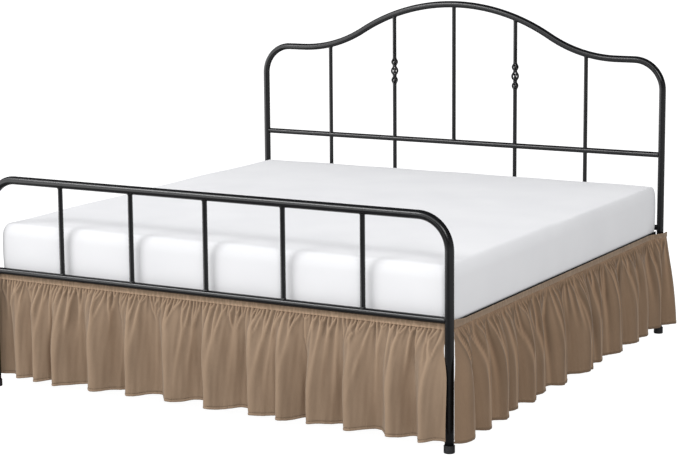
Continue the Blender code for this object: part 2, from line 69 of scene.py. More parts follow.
BAND_BOTTOM, BAND_TOP = 0.4315, 0.4525
RUFFLE_TOP = BAND_BOTTOM - 0.0003
HEM_Z = 0.048
DROP = RUFFLE_TOP - HEM_Z
FOOT_BAND_Y = 0.0208
FOOT_LEFT_X, FOOT_RIGHT_X, FOOT_RIGHT_HEM_X = -1.004, 0.9795, 1.003
SIDE_BAND_X, SIDE_BAND_START_Y = 0.9915, 0.040
SIDE_START_Y, SIDE_END_Y = 0.0545, 2.095
LAP_START_Y, LAP_LENGTH, LAP_OUT = 1.960, 0.100, 0.034
FRONT_EDGE_FLARE, FRONT_EDGE_TUCK = 0.0845, 0.010
FOOT_BELL, SIDE_BELL, END_BELL, END_LENGTH = 3.5, 4.0, 1.3, 0.150
FOOT_LEAN, SIDE_LEAN = 0.022, 0.025
STRAIGHT = 0.012
HEM_TURN = 0.0105        # stitch line above the edge

Fold = namedtuple("Fold", "ridge ridge_out valley valley_out")
FOOT_START = Fold(FOOT_LEFT_X, -0.028, -0.948, -0.042)
FOOT_FOLDS = (
    Fold(-0.882, 0.014, -0.822, -0.018),
    Fold(-0.788, 0.028, -0.722, -0.011),
    Fold(-0.680, 0.044, -0.580, -0.031),
    Fold(-0.506, 0.050, -0.407, -0.036),
    Fold(-0.338, 0.038, -0.236, -0.031),
    Fold(-0.160, 0.039, -0.040, -0.027),
    Fold(0.028, 0.057, 0.158, -0.024),
    Fold(0.217, 0.054, 0.303, 0.017),
    Fold(0.338, 0.057, 0.424, -0.012),
    Fold(0.470, 0.062, 0.568, -0.007),
    Fold(0.626, 0.067, 0.726, 0.002),
    Fold(0.796, 0.068, 0.872, 0.010),
)
FOOT_END = Fold(0.923, 0.084, FOOT_RIGHT_HEM_X, 0.036)
SIDE_FRONT_OUT = 0.0475
SIDE_FOLDS = (
    Fold(0.045, 0.088, 0.105, 0.022),
    Fold(0.190, 0.084, 0.255, 0.018),
    Fold(0.352, 0.082, 0.410, 0.030),
    Fold(0.468, 0.062, 0.530, 0.018),
    Fold(0.608, 0.076, 0.670, 0.028),
    Fold(0.736, 0.056, 0.795, 0.015),
    Fold(0.905, 0.072, 0.985, 0.010),
    Fold(1.140, 0.082, 1.235, 0.020),
    Fold(1.312, 0.057, 1.368, 0.012),
    Fold(1.478, 0.074, 1.575, 0.010),
    Fold(1.692, 0.070, 1.742, 0.032),
    Fold(1.806, 0.060, 1.890, 0.012),
    Fold(1.990, 0.060, 2.035, 0.028),
)
SIDE_END_OUT = 0.086

Bead = namedtuple("Bead", "z half radius")
BEADS = (
    Bead(1.1460, 0.0165, 0.0160),
    Bead(1.1050, 0.0210, 0.0180),
    Bead(1.0620, 0.0165, 0.0156),
)

# Camera and picture
CAM_AT = (3.9167, -5.9406 - SHIFT, 1.9600)
CAM_YAW, CAM_PITCH, CAM_ROLL = 29.4315, 8.8312, -0.4531
CAM_LENS, CAM_SHIFT_X, CAM_SHIFT_Y = 103.935, 0.0015, -0.0589


# Light: name, azimuth from straight ahead of the footboard (right is positive) and
# elevation in degrees, distance, size and power
WORLD_LOW, WORLD_HIGH, WORLD_GLOSS = 0.60, 0.76, 0.065
FLOOR_GLOW, FLOOR_SEEN = 0.34, 0.97
# soft panels that only gloss mirrors: high in front and to the left, low at the left and right
PANEL_HIGH, PANEL_LEFT, PANEL_RIGHT = 2.7, 2.7, 0.5
LAMP_TARGET = Vector((0.0, -0.2, 0.50))
LAMPS = (
    ("key", -34.0, 36.0, 10.0, (4.6, 2.0), 402.0),
    ("fill", 36.0, 26.0, 10.0, (3.0, 3.0), 270.0),
)


# ---------------------------------------------------------------------------
# Helpers
def smooth(value):
    value = np.clip(value, 0.0, 1.0)
    return value * value * (3 - 2 * value)


def link(obj):
    bpy.context.scene.collection.objects.link(obj)
    return obj


def mesh_object(name, points, faces, material, uvs=None, flat=False, nap=None):
    """A mesh from layout points (moved to the row frame) and faces, all of one size."""
    points = np.asarray(points, np.float64).reshape(-1, 3).copy()
    points[:, 1] -= SHIFT
    mesh = bpy.data.meshes.new(name)
    if isinstance(faces, np.ndarray):
        size = faces.shape[1]
        mesh.vertices.add(len(points))
        mesh.vertices.foreach_set("co", points.astype(np.float32).ravel())
        mesh.loops.add(faces.size)
        mesh.loops.foreach_set("vertex_index", faces.astype(np.int32).ravel())
        mesh.polygons.add(len(faces))
        mesh.polygons.foreach_set("loop_start", np.arange(0, faces.size, size, dtype=np.int32))
        mesh.update(calc_edges=True)
    else:
        mesh.from_pydata([tuple(p) for p in points], [], faces)
    if uvs is not None:
        layer = mesh.uv_layers.new(name="flat")
        index = np.empty(len(mesh.loops), np.int32)
        mesh.loops.foreach_get("vertex_index", index)
        layer.data.foreach_set("uv", np.asarray(uvs, np.float32).reshape(-1, 2)[index].ravel())
        if nap is not None:
            # painted shading: 0.5 is the plain cloth, 1 a crest given painted light, 0 a trough given painted shade
            painted_shading_share = np.clip(0.5 + 0.5 * np.asarray(nap, np.float32).ravel(), 0.0, 1.0)
            layer = mesh.uv_layers.new(name="nap")
            layer.data.foreach_set("uv", np.stack([painted_shading_share, np.zeros_like(painted_shading_share)], 1)[index].astype(np.float32).ravel())
            mesh.uv_layers["flat"].active = True
    if not flat:
        mesh.polygons.foreach_set("use_smooth", np.ones(len(mesh.polygons), bool))
    mesh.validate()
    mesh.update()
    mesh.materials.append(material)
    return link(bpy.data.objects.new(name, mesh))


def grid_faces(rows, cols, closed_rows=False, flip=False):
    r = np.arange(rows if closed_rows else rows - 1)
    c = np.arange(cols - 1)
    rr, cc = np.meshgrid(r, c, indexing="ij")
    nr = (rr + 1) % rows
    quads = np.stack([rr * cols + cc, nr * cols + cc, nr * cols + cc + 1, rr * cols + cc + 1], -1)
    quads = quads.reshape(-1, 4)
    return quads[:, ::-1] if flip else quads


def keep(piece, *nodes, slot):
    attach(piece, "root")
    if nodes:
        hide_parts(*nodes)
    return piece


# ---------------------------------------------------------------------------
# Materials
def new_material(name):
    material = bpy.data.materials.new(name)
    material.use_nodes = True
    tree = material.node_tree
    shader = tree.nodes["Principled BSDF"]
    return material, tree, shader


def noise(tree, vector, scale, detail=2.0, rough=0.5):
    made = tree.nodes.new("ShaderNodeTexNoise")
    made.inputs["Scale"].default_value = scale
    made.inputs["Detail"].default_value = detail
    made.inputs["Roughness"].default_value = rough
    tree.links.new(vector, made.inputs["Vector"])
    return made.outputs["Fac"]


def ramp(tree, value, stops):
    made = tree.nodes.new("ShaderNodeValToRGB")
    while len(made.color_ramp.elements) < len(stops):
        made.color_ramp.elements.new(0.5)
    for element, (place, colour) in zip(made.color_ramp.elements, stops):
        element.position = place
        element.color = (*colour, 1.0)
    tree.links.new(value, made.inputs["Fac"])
    return made.outputs["Color"]


def maths(tree, operation, a, b=None, clamp=False):
    made = tree.nodes.new("ShaderNodeMath")
    made.operation = operation
    made.use_clamp = clamp
    for slot, value in ((0, a), (1, b)):
        if value is None:
            continue
        if isinstance(value, (int, float)):
            made.inputs[slot].default_value = value
        else:
            tree.links.new(value, made.inputs[slot])
    return made.outputs[0]


def between(tree, value, low, high):
    """0 up to low, 1 from high on (or the other way round if low is the greater)."""
    return maths(tree, "MULTIPLY", maths(tree, "SUBTRACT", value, low), 1 / (high - low), clamp=True)


def mixed(tree, factor, a, b, blend="MIX"):
    made = tree.nodes.new("ShaderNodeMix")
    made.data_type = "RGBA"
    made.blend_type = blend
    for slot, value in ((0, factor), (6, a), (7, b)):
        if isinstance(value, (int, float)):
            made.inputs[slot].default_value = value
        elif isinstance(value, tuple):
            made.inputs[slot].default_value = (*value, 1.0)
        else:
            tree.links.new(value, made.inputs[slot])
    return made.outputs[2]


def bump(tree, height, distance, strength, after=None):
    made = tree.nodes.new("ShaderNodeBump")
    made.inputs["Distance"].default_value = distance
    made.inputs["Strength"].default_value = strength
    tree.links.new(height, made.inputs["Height"])
    if after is not None:
        tree.links.new(after, made.inputs["Normal"])
    return made.outputs["Normal"]


def scaled(tree, vector, size):
    made = tree.nodes.new("ShaderNodeMapping")
    made.inputs["Scale"].default_value = size
    tree.links.new(vector, made.inputs["Vector"])
    return made.outputs["Vector"]


def cloth_material(name, light, dark, stitch_rows=True, seam_painted_light=0.0):
    """Brushed microfibre: fine plain weave, a light nap, faint mottling, hem stitches, with painted light on crests and
    under the seam and painted shade in troughs and at the hem.
    """
    material, tree, shader = new_material(name)
    uv = tree.nodes.new("ShaderNodeUVMap")
    uv.uv_map = "flat"
    flat = uv.outputs["UV"]
    coords = tree.nodes.new("ShaderNodeTexCoord").outputs["Object"]
    mottle = noise(tree, coords, 7.0, 3.0, 0.55)
    fibre = noise(tree, scaled(tree, flat, (900.0, 220.0, 1.0)), 1.0, 3.0, 0.6)
    nap = noise(tree, scaled(tree, flat, (160.0, 60.0, 1.0)), 1.0, 2.0, 0.5)
    tone = maths(tree, "ADD", maths(tree, "MULTIPLY", mottle, 0.55),
                 maths(tree, "ADD", maths(tree, "MULTIPLY", fibre, 0.25), maths(tree, "MULTIPLY", nap, 0.20)))
    colour = ramp(tree, tone, ((0.30, dark), (0.70, light)))

    parts = tree.nodes.new("ShaderNodeSeparateXYZ")
    tree.links.new(flat, parts.inputs[0])
    u, v = parts.outputs[0], parts.outputs[1]
    # painted light along the crests and painted shade in the troughs, taken from the relief layer
    painted_shading_map = tree.nodes.new("ShaderNodeUVMap")
    painted_shading_map.uv_map = "nap"
    painted_shading_share = tree.nodes.new("ShaderNodeSeparateXYZ")
    tree.links.new(painted_shading_map.outputs["UV"], painted_shading_share.inputs[0])
    colour = mixed(tree, maths(tree, "SUBTRACT", 0.5, painted_shading_share.outputs[0], clamp=True), colour, tuple(c * TROUGH_PAINTED_SHADE for c in dark))
    colour = mixed(tree, maths(tree, "SUBTRACT", painted_shading_share.outputs[0], 0.5, clamp=True), colour, tuple(c * CREST_PAINTED_LIGHT for c in light))
    # painted light: the cloth just under the seam is lightened against the shade under the heading
    if seam_painted_light:
        near_seam = maths(tree, "MULTIPLY", maths(tree, "SUBTRACT", v, DROP - 0.022), 1 / 0.022, clamp=True)
        colour = mixed(tree, maths(tree, "MULTIPLY", near_seam, seam_painted_light), colour, tuple(c * 1.9 for c in light))
    warp = maths(tree, "SINE", maths(tree, "MULTIPLY", u, 2 * math.pi / 0.00055))
    weft = maths(tree, "SINE", maths(tree, "MULTIPLY", v, 2 * math.pi / 0.00050))
    weave = maths(tree, "MULTIPLY", warp, weft)
    normal = bump(tree, weave, 0.00005, 0.35)
    normal = bump(tree, fibre, 0.00012, 0.5, normal)
    normal = bump(tree, nap, 0.0004, 0.35, normal)
    if stitch_rows:
        # one row of stitches at the hem's turn, 3 mm long with a 0.5 mm space
        near = maths(tree, "ABSOLUTE", maths(tree, "SUBTRACT", v, HEM_TURN))
        row = maths(tree, "LESS_THAN", near, 0.00035)
        dash = maths(tree, "GREATER_THAN", maths(tree, "SINE", maths(tree, "MULTIPLY", u, 2 * math.pi / 0.0033)), -0.6)
        thread = maths(tree, "MULTIPLY", row, dash)
        # painted shade: darker in the dent along the stitch row and along the hem's bottom edge
        dent = maths(tree, "SUBTRACT", 1.0, maths(tree, "MULTIPLY", near, 1 / 0.0030), clamp=True)
        edge = maths(tree, "SUBTRACT", 1.0, maths(tree, "MULTIPLY", v, 1 / 0.0035), clamp=True)
        shade = tuple(c * 0.62 for c in dark)
        colour = mixed(tree, maths(tree, "MULTIPLY", dent, 0.55), colour, shade)
        colour = mixed(tree, maths(tree, "MULTIPLY", edge, 0.60), colour, shade)
        colour = mixed(tree, maths(tree, "MULTIPLY", thread, 0.5), colour, tuple(c * 1.12 for c in light))
        normal = bump(tree, thread, 0.0003, 0.6, normal)
    tree.links.new(colour, shader.inputs["Base Color"])
    tree.links.new(normal, shader.inputs["Normal"])
    shader.inputs["Roughness"].default_value = 0.92
    shader.inputs["Specular IOR Level"].default_value = 0.18
    shader.inputs["Sheen Weight"].default_value = 0.22
    shader.inputs["Sheen Roughness"].default_value = 0.45
    shader.inputs["Sheen Tint"].default_value = (0.93, 0.86, 0.78, 1.0)
    return material


def enamel_material(name, tint=(0.0046, 0.0048, 0.0054), rough=0.27):
    """Satin black powder coat: a fine orange peel, faint dust in the gloss."""
    material, tree, shader = new_material(name)
    coords = tree.nodes.new("ShaderNodeTexCoord").outputs["Object"]
    peel = noise(tree, coords, 900.0, 2.0, 0.5)
    slow = noise(tree, coords, 26.0, 2.0, 0.5)
    colour = ramp(tree, slow, ((0.35, tint), (0.7, tuple(c * 1.35 for c in tint))))
    tree.links.new(colour, shader.inputs["Base Color"])
    low, high = rough - 0.04, rough + 0.06
    tree.links.new(maths(tree, "ADD", low, maths(tree, "MULTIPLY", slow, high - low)), shader.inputs["Roughness"])
    tree.links.new(bump(tree, peel, 0.00005, 0.22), shader.inputs["Normal"])
    shader.inputs["Specular IOR Level"].default_value = 0.38
    return material


def plastic_material(name):
    """Moulded black plastic with a fine spark-eroded texture."""
    material, tree, shader = new_material(name)
    coords = tree.nodes.new("ShaderNodeTexCoord").outputs["Object"]
    grain = noise(tree, coords, 1500.0, 2.0, 0.6)
    slow = noise(tree, coords, 60.0, 2.0, 0.5)
    tree.links.new(ramp(tree, slow, ((0.3, (0.016, 0.016, 0.017)), (0.7, (0.026, 0.026, 0.027)))), shader.inputs["Base Color"])
    tree.links.new(bump(tree, grain, 0.00025, 0.6), shader.inputs["Normal"])
    shader.inputs["Roughness"].default_value = 0.55
    shader.inputs["Specular IOR Level"].default_value = 0.4
    return material


def ticking_material(name):
    """Smooth white knit: fine wales, a slight loft, faint unevenness."""
    material, tree, shader = new_material(name)
    coords = tree.nodes.new("ShaderNodeTexCoord").outputs["Object"]
    slow = noise(tree, coords, 4.0, 2.0, 0.5)
    fine = noise(tree, coords, 700.0, 2.0, 0.6)
    loft = noise(tree, coords, 38.0, 2.0, 0.5)
    colour = ramp(tree, maths(tree, "ADD", maths(tree, "MULTIPLY", slow, 0.7), maths(tree, "MULTIPLY", fine, 0.3)),
                  ((0.30, (0.800, 0.802, 0.820)), (0.70, (0.850, 0.851, 0.865))))
    tree.links.new(colour, shader.inputs["Base Color"])
    normal = bump(tree, fine, 0.00022, 0.35)
    normal = bump(tree, loft, 0.0012, 0.12, normal)
    tree.links.new(normal, shader.inputs["Normal"])
    shader.inputs["Roughness"].default_value = 0.88
    shader.inputs["Specular IOR Level"].default_value = 0.08
    shader.inputs["Sheen Weight"].default_value = 0.06
    shader.inputs["Sheen Roughness"].default_value = 0.5
    return material


def pine_material(name, turn):
    """Planed pine: long grain, growth rings stretched along the slat, a few knots."""
    material, tree, shader = new_material(name)
    coords = tree.nodes.new("ShaderNodeTexCoord").outputs["Object"]
    move = tree.nodes.new("ShaderNodeMapping")
    move.inputs["Location"].default_value = (turn * 1.7, turn * 0.9, turn * 0.3)
    move.inputs["Scale"].default_value = (1.2, 22.0, 22.0)
    tree.links.new(coords, move.inputs["Vector"])
    rings = tree.nodes.new("ShaderNodeTexWave")
    rings.wave_type = "BANDS"
    rings.bands_direction = "Y"
    rings.inputs["Scale"].default_value = 2.2
    rings.inputs["Distortion"].default_value = 5.0
    rings.inputs["Detail"].default_value = 3.0
    rings.inputs["Detail Scale"].default_value = 0.6
    tree.links.new(move.outputs["Vector"], rings.inputs["Vector"])
    grain = noise(tree, scaled(tree, coords, (14.0, 420.0, 420.0)), 1.0, 3.0, 0.6)
    tone = maths(tree, "ADD", maths(tree, "MULTIPLY", rings.outputs["Fac"], 0.6), maths(tree, "MULTIPLY", grain, 0.4))
    tree.links.new(ramp(tree, tone, ((0.2, (0.60, 0.43, 0.25)), (0.8, (0.40, 0.25, 0.12)))), shader.inputs["Base Color"])
    tree.links.new(bump(tree, grain, 0.0004, 0.4), shader.inputs["Normal"])
    shader.inputs["Roughness"].default_value = 0.62
    return material


TROUGH_PAINTED_SHADE, CREST_PAINTED_LIGHT = 0.17, 1.80
# how strongly the painted crest light and trough shade show at distances below the seam
PAINTED_SHADING_FALL = (0.0, 0.012, 0.020, 0.030, 0.045, 0.070, 0.100, 0.150, 0.200, 0.300)
FOOT_PAINTED_SHADING = (1.00, 1.00, 0.86, 0.78, 0.78, 0.64, 0.56, 0.46, 0.38, 0.34)
SIDE_PAINTED_SHADING = (0.80, 0.85, 0.96, 1.00, 1.00, 0.94, 0.90, 0.90, 0.94, 0.90)
TAUPE_LIGHT, TAUPE_DARK = (0.330, 0.234, 0.160), (0.276, 0.193, 0.130)
# the side panels are a darker copy of the cloth: painted shade for the sides, which get less light than the foot
SIDE_PAINTED_SHADE = (0.80, 0.755, 0.71)
FOOT_CLOTH = cloth_material("taupe_microfibre_foot", tuple(c * 0.95 for c in TAUPE_LIGHT), tuple(c * 0.95 for c in TAUPE_DARK), seam_painted_light=0.12)
SIDE_CLOTH = cloth_material("taupe_microfibre_side", tuple(a * b for a, b in zip(TAUPE_LIGHT, SIDE_PAINTED_SHADE)), tuple(a * b for a, b in zip(TAUPE_DARK, SIDE_PAINTED_SHADE)), seam_painted_light=0.28)
# the foot heading is a lighter copy of the cloth, painted light against the crossbar's shadow on it; the side headings
# are a darker copy, painted shade for the sides, less deep than on the side panels
FOOT_BAND = cloth_material("taupe_heading_foot", tuple(c * 1.58 for c in TAUPE_LIGHT), tuple(c * 1.48 for c in TAUPE_DARK), stitch_rows=False)
SIDE_BAND = cloth_material("taupe_heading_side", tuple(c * 0.90 for c in TAUPE_LIGHT), tuple(c * 0.83 for c in TAUPE_DARK), stitch_rows=False)
ENAMEL = enamel_material("black_powder_coat", rough=0.20)
PLASTIC = plastic_material("black_moulding")
TICKING = ticking_material("white_knit")


# ---------------------------------------------------------------------------
# Camera, stage and light
def make_camera():
    yaw, pitch, roll = (math.radians(a) for a in (CAM_YAW, CAM_PITCH, CAM_ROLL))
    ahead = Vector((-math.sin(yaw) * math.cos(pitch), math.cos(yaw) * math.cos(pitch), -math.sin(pitch)))
    right = Vector((math.cos(yaw), math.sin(yaw), 0.0))
    up = right.cross(ahead)
    right, up = (
        right * math.cos(roll) + up * math.sin(roll),
        up * math.cos(roll) - right * math.sin(roll),
    )
    data = bpy.data.cameras.new("camera")
    data.lens, data.sensor_width, data.sensor_fit = CAM_LENS, 36.0, "HORIZONTAL"
    data.shift_x, data.shift_y = CAM_SHIFT_X, CAM_SHIFT_Y
    data.clip_end = 100.0
    data.dof.use_dof = False
    camera = link(bpy.data.objects.new("camera", data))
    turn = Matrix((right, up, -ahead)).transposed().to_4x4()
    camera.matrix_world = Matrix.Translation(CAM_AT) @ turn
    bpy.context.scene.camera = camera


def area_light(name, at, target, size, power, colour=(1, 1, 1), spread=180.0):
    data = bpy.data.lights.new(name, "AREA")
    data.shape = "RECTANGLE"
    data.size, data.size_y = size
    data.energy = power
    data.color = colour
    data.spread = math.radians(spread)
    lamp = link(bpy.data.objects.new(name, data))
    lamp.location = at
    lamp.rotation_euler = (Vector(target) - Vector(at)).to_track_quat("-Z", "Y").to_euler()
    return lamp


def make_stage():
    scene = bpy.context.scene
    scene.view_settings.view_transform = "Standard"
    scene.view_settings.look = "None"
    world = bpy.data.worlds.new("studio")
    scene.world = world
    world.use_nodes = True
    tree = world.node_tree
    back = tree.nodes["Background"]
    back.inputs["Color"].default_value = (0.985, 0.99, 1.0, 1.0)
    rays = tree.nodes.new("ShaderNodeLightPath").outputs
    # a little brighter overhead than at the sides, and dimmer where metal mirrors it
    parts = tree.nodes.new("ShaderNodeSeparateXYZ")
    tree.links.new(tree.nodes.new("ShaderNodeTexCoord").outputs["Generated"], parts.inputs[0])
    height = maths(tree, "MAXIMUM", parts.outputs[2], 0.0)
    even = maths(tree, "ADD", WORLD_LOW, maths(tree, "MULTIPLY", height, WORLD_HIGH - WORLD_LOW))
    belt = maths(tree, "MULTIPLY", between(tree, parts.outputs[2], 0.27, 0.39), between(tree, parts.outputs[2], 0.82, 0.70))
    belt = maths(tree, "MULTIPLY", belt, between(tree, parts.outputs[0], 0.45, 0.15))
    belt = maths(tree, "MULTIPLY", belt, between(tree, parts.outputs[1], 0.02, -0.18))
    low_down = between(tree, parts.outputs[2], 0.34, 0.22)
    panels = maths(tree, "MULTIPLY", belt, PANEL_HIGH)
    panels = maths(tree, "ADD", panels, maths(tree, "MULTIPLY", low_down, maths(tree, "MULTIPLY", between(tree, parts.outputs[0], -0.25, -0.45), PANEL_LEFT)))
    panels = maths(tree, "ADD", panels, maths(tree, "MULTIPLY", low_down, maths(tree, "MULTIPLY", between(tree, parts.outputs[0], 0.75, 0.90), PANEL_RIGHT)))
    mirrored = maths(tree, "ADD", panels, WORLD_GLOSS)
    dull = maths(tree, "MULTIPLY", rays["Is Glossy Ray"], maths(tree, "SUBTRACT", even, mirrored))
    tree.links.new(maths(tree, "SUBTRACT", even, dull), back.inputs["Strength"])
    seen = tree.nodes.new("ShaderNodeBackground")
    seen.inputs["Color"].default_value = (1.0, 1.0, 1.0, 1.0)
    seen.inputs["Strength"].default_value = 1.0
    choice = tree.nodes.new("ShaderNodeMixShader")
    tree.links.new(rays["Is Camera Ray"], choice.inputs[0])
    tree.links.new(back.outputs[0], choice.inputs[1])
    tree.links.new(seen.outputs[0], choice.inputs[2])
    tree.links.new(choice.outputs[0], tree.nodes["World Output"].inputs["Surface"])

    material, tree, shader = new_material("white_floor")
    coords = tree.nodes.new("ShaderNodeTexCoord").outputs["Object"]
    faint = noise(tree, coords, 3.0, 2.0, 0.5)
    tree.links.new(ramp(tree, faint, ((0.0, (0.25, 0.25, 0.25)), (1.0, (0.27, 0.27, 0.27)))), shader.inputs["Base Color"])
    shader.inputs["Roughness"].default_value = 1.0
    shader.inputs["Specular IOR Level"].default_value = 0.0
    shader.inputs["Emission Color"].default_value = (1.0, 1.0, 1.0, 1.0)
    parts = tree.nodes.new("ShaderNodeSeparateXYZ")
    tree.links.new(coords, parts.inputs[0])
    # painted light: the floor glows to light the bed from below, and the glow fades under the bed as painted shade
    across = maths(tree, "MULTIPLY", maths(tree, "ABSOLUTE", parts.outputs[0]), 1 / 0.95)
    along = maths(tree, "MULTIPLY", maths(tree, "ABSOLUTE", parts.outputs[1]), 1 / 1.02)
    edge = maths(tree, "MULTIPLY", maths(tree, "SUBTRACT", maths(tree, "MAXIMUM", across, along), 0.55), 2.0, clamp=True)
    rays = tree.nodes.new("ShaderNodeLightPath").outputs
    seen = rays["Is Camera Ray"]
    # neither the picture nor the metal's gloss takes up the floor's glow
    plain = maths(tree, "MULTIPLY", maths(tree, "SUBTRACT", 1.0, seen), maths(tree, "SUBTRACT", 1.0, rays["Is Glossy Ray"]))
    lit = maths(tree, "MULTIPLY", maths(tree, "MULTIPLY", edge, FLOOR_GLOW), plain)
    # the low panels' light on the floor, which upright tubes mirror
    left = maths(tree, "MULTIPLY", between(tree, parts.outputs[0], -1.5, -2.3), PANEL_LEFT)
    right = maths(tree, "MULTIPLY", between(tree, parts.outputs[0], 2.0, 2.8), PANEL_RIGHT)
    lit = maths(tree, "ADD", lit, maths(tree, "MULTIPLY", maths(tree, "ADD", left, right), rays["Is Glossy Ray"]))
    tree.links.new(maths(tree, "ADD", lit, maths(tree, "MULTIPLY", seen, FLOOR_SEEN)), shader.inputs["Emission Strength"])
    size = 30.0
    corners = [(-size, -size, 0), (size, -size, 0), (size, size, 0), (-size, size, 0)]
    floor = mesh_object("floor", corners, [(0, 1, 2, 3)], material, flat=True)
    floor.location.z = -0.0004

    for name, azimuth, elevation, away, size, power in LAMPS:
        a, e = math.radians(azimuth), math.radians(elevation)
        at = LAMP_TARGET + away * Vector((math.sin(a) * math.cos(e), -math.cos(a) * math.cos(e), math.sin(e)))
        area_light(name, at, LAMP_TARGET, size, power)


# ---------------------------------------------------------------------------
# Tubes and turned parts
def frames_along(path):
    """A steady set of two side directions at each point of a path."""
    path = np.asarray(path, float)
    ahead = np.gradient(path, axis=0)
    ahead /= np.linalg.norm(ahead, axis=1)[:, None]
    side = np.cross(ahead[0], (0.0, 1.0, 0.0))
    if np.linalg.norm(side) < 1e-6:
        side = np.cross(ahead[0], (1.0, 0.0, 0.0))
    sides = []
    for direction in ahead:
        side = side - direction * side.dot(direction)
        side = side / np.linalg.norm(side)
        sides.append(side)
    sides = np.array(sides)
    return path, ahead, sides, np.cross(ahead, sides)


def tube_points(path, radii, around):
    path, _, one, two = frames_along(path)
    angle = np.linspace(0, 2 * math.pi, around, endpoint=False)
    radii = np.broadcast_to(np.asarray(radii, float), (len(path),))
    ring = (np.cos(angle)[None, :, None] * one[:, None, :] + np.sin(angle)[None, :, None] * two[:, None, :])
    return path[:, None, :] + ring * radii[:, None, None]


class Shells:
    """Collects tubes and turned shells into one mesh."""

    def __init__(self):
        self.points, self.faces, self.count = [], [], 0

    def tube(self, path, radii, around=20, capped=True):
        rings = tube_points(path, radii, around)
        rows = len(rings)
        self.points.append(rings.reshape(-1, 3))
        base = self.count
        for r in range(rows - 1):
            for a in range(around):
                b = (a + 1) % around
                i = base + r * around
                self.faces.append((i + a, i + b, i + around + b, i + around + a))
        self.count += rows * around
        if capped:
            for r, order in ((0, -1), (rows - 1, 1)):
                self.points.append(np.asarray(path[r], float)[None, :])
                centre = self.count
                self.count += 1
                for a in range(around):
                    b = (a + 1) % around
                    i = base + r * around
                    face = (i + a, i + b, centre)
                    self.faces.append(face if order > 0 else face[::-1])
        return self

    def turned(self, start, direction, profile, around=20):
        """profile: (distance along, radius) pairs; the first and last are closed to the axis."""
        start, direction = np.asarray(start, float), np.asarray(direction, float)
        path = [start + direction * along for along, _ in profile]
        spaced = [path[0]]
        for p in path[1:]:
            spaced.append(p if np.linalg.norm(p - spaced[-1]) > 1e-9 else spaced[-1] + direction * 1e-6)
        return self.tube(spaced, [max(r, 1e-5) for _, r in profile], around)

    def build(self, name, material):
        return mesh_object(name, np.concatenate(self.points), self.faces, material)


def arc(centre_x, centre_z, y, radius, start, end, steps):
    angle = np.radians(np.linspace(start, end, steps + 1))
    return [(centre_x + radius * math.cos(a), y, centre_z + radius * math.sin(a)) for a in angle]


def straight(a, b, steps):
    a, b = np.asarray(a, float), np.asarray(b, float)
    return [tuple(a + (b - a) * k) for k in np.linspace(0, 1, steps + 1)]


def arch_height(x):
    x = abs(x)
    turn_x = ARCH_RADIUS * math.sin(ARCH_TURN)
    flat_x = turn_x + FLARE_RADIUS * math.sin(ARCH_TURN)
    if x <= turn_x:
        return ARCH_TOP_Z - ARCH_RADIUS + math.sqrt(ARCH_RADIUS**2 - x * x)
    if x <= flat_x:
        return SHOULDER_Z + FLARE_RADIUS - math.sqrt(FLARE_RADIUS**2 - (x - flat_x) ** 2)
    return SHOULDER_Z


def joined_path(half):
    """The whole tube from its right half, which runs from the right post's foot to the middle."""
    left = [(-x, y, z) for x, y, z in half[:-1]]
    return half + left[::-1]


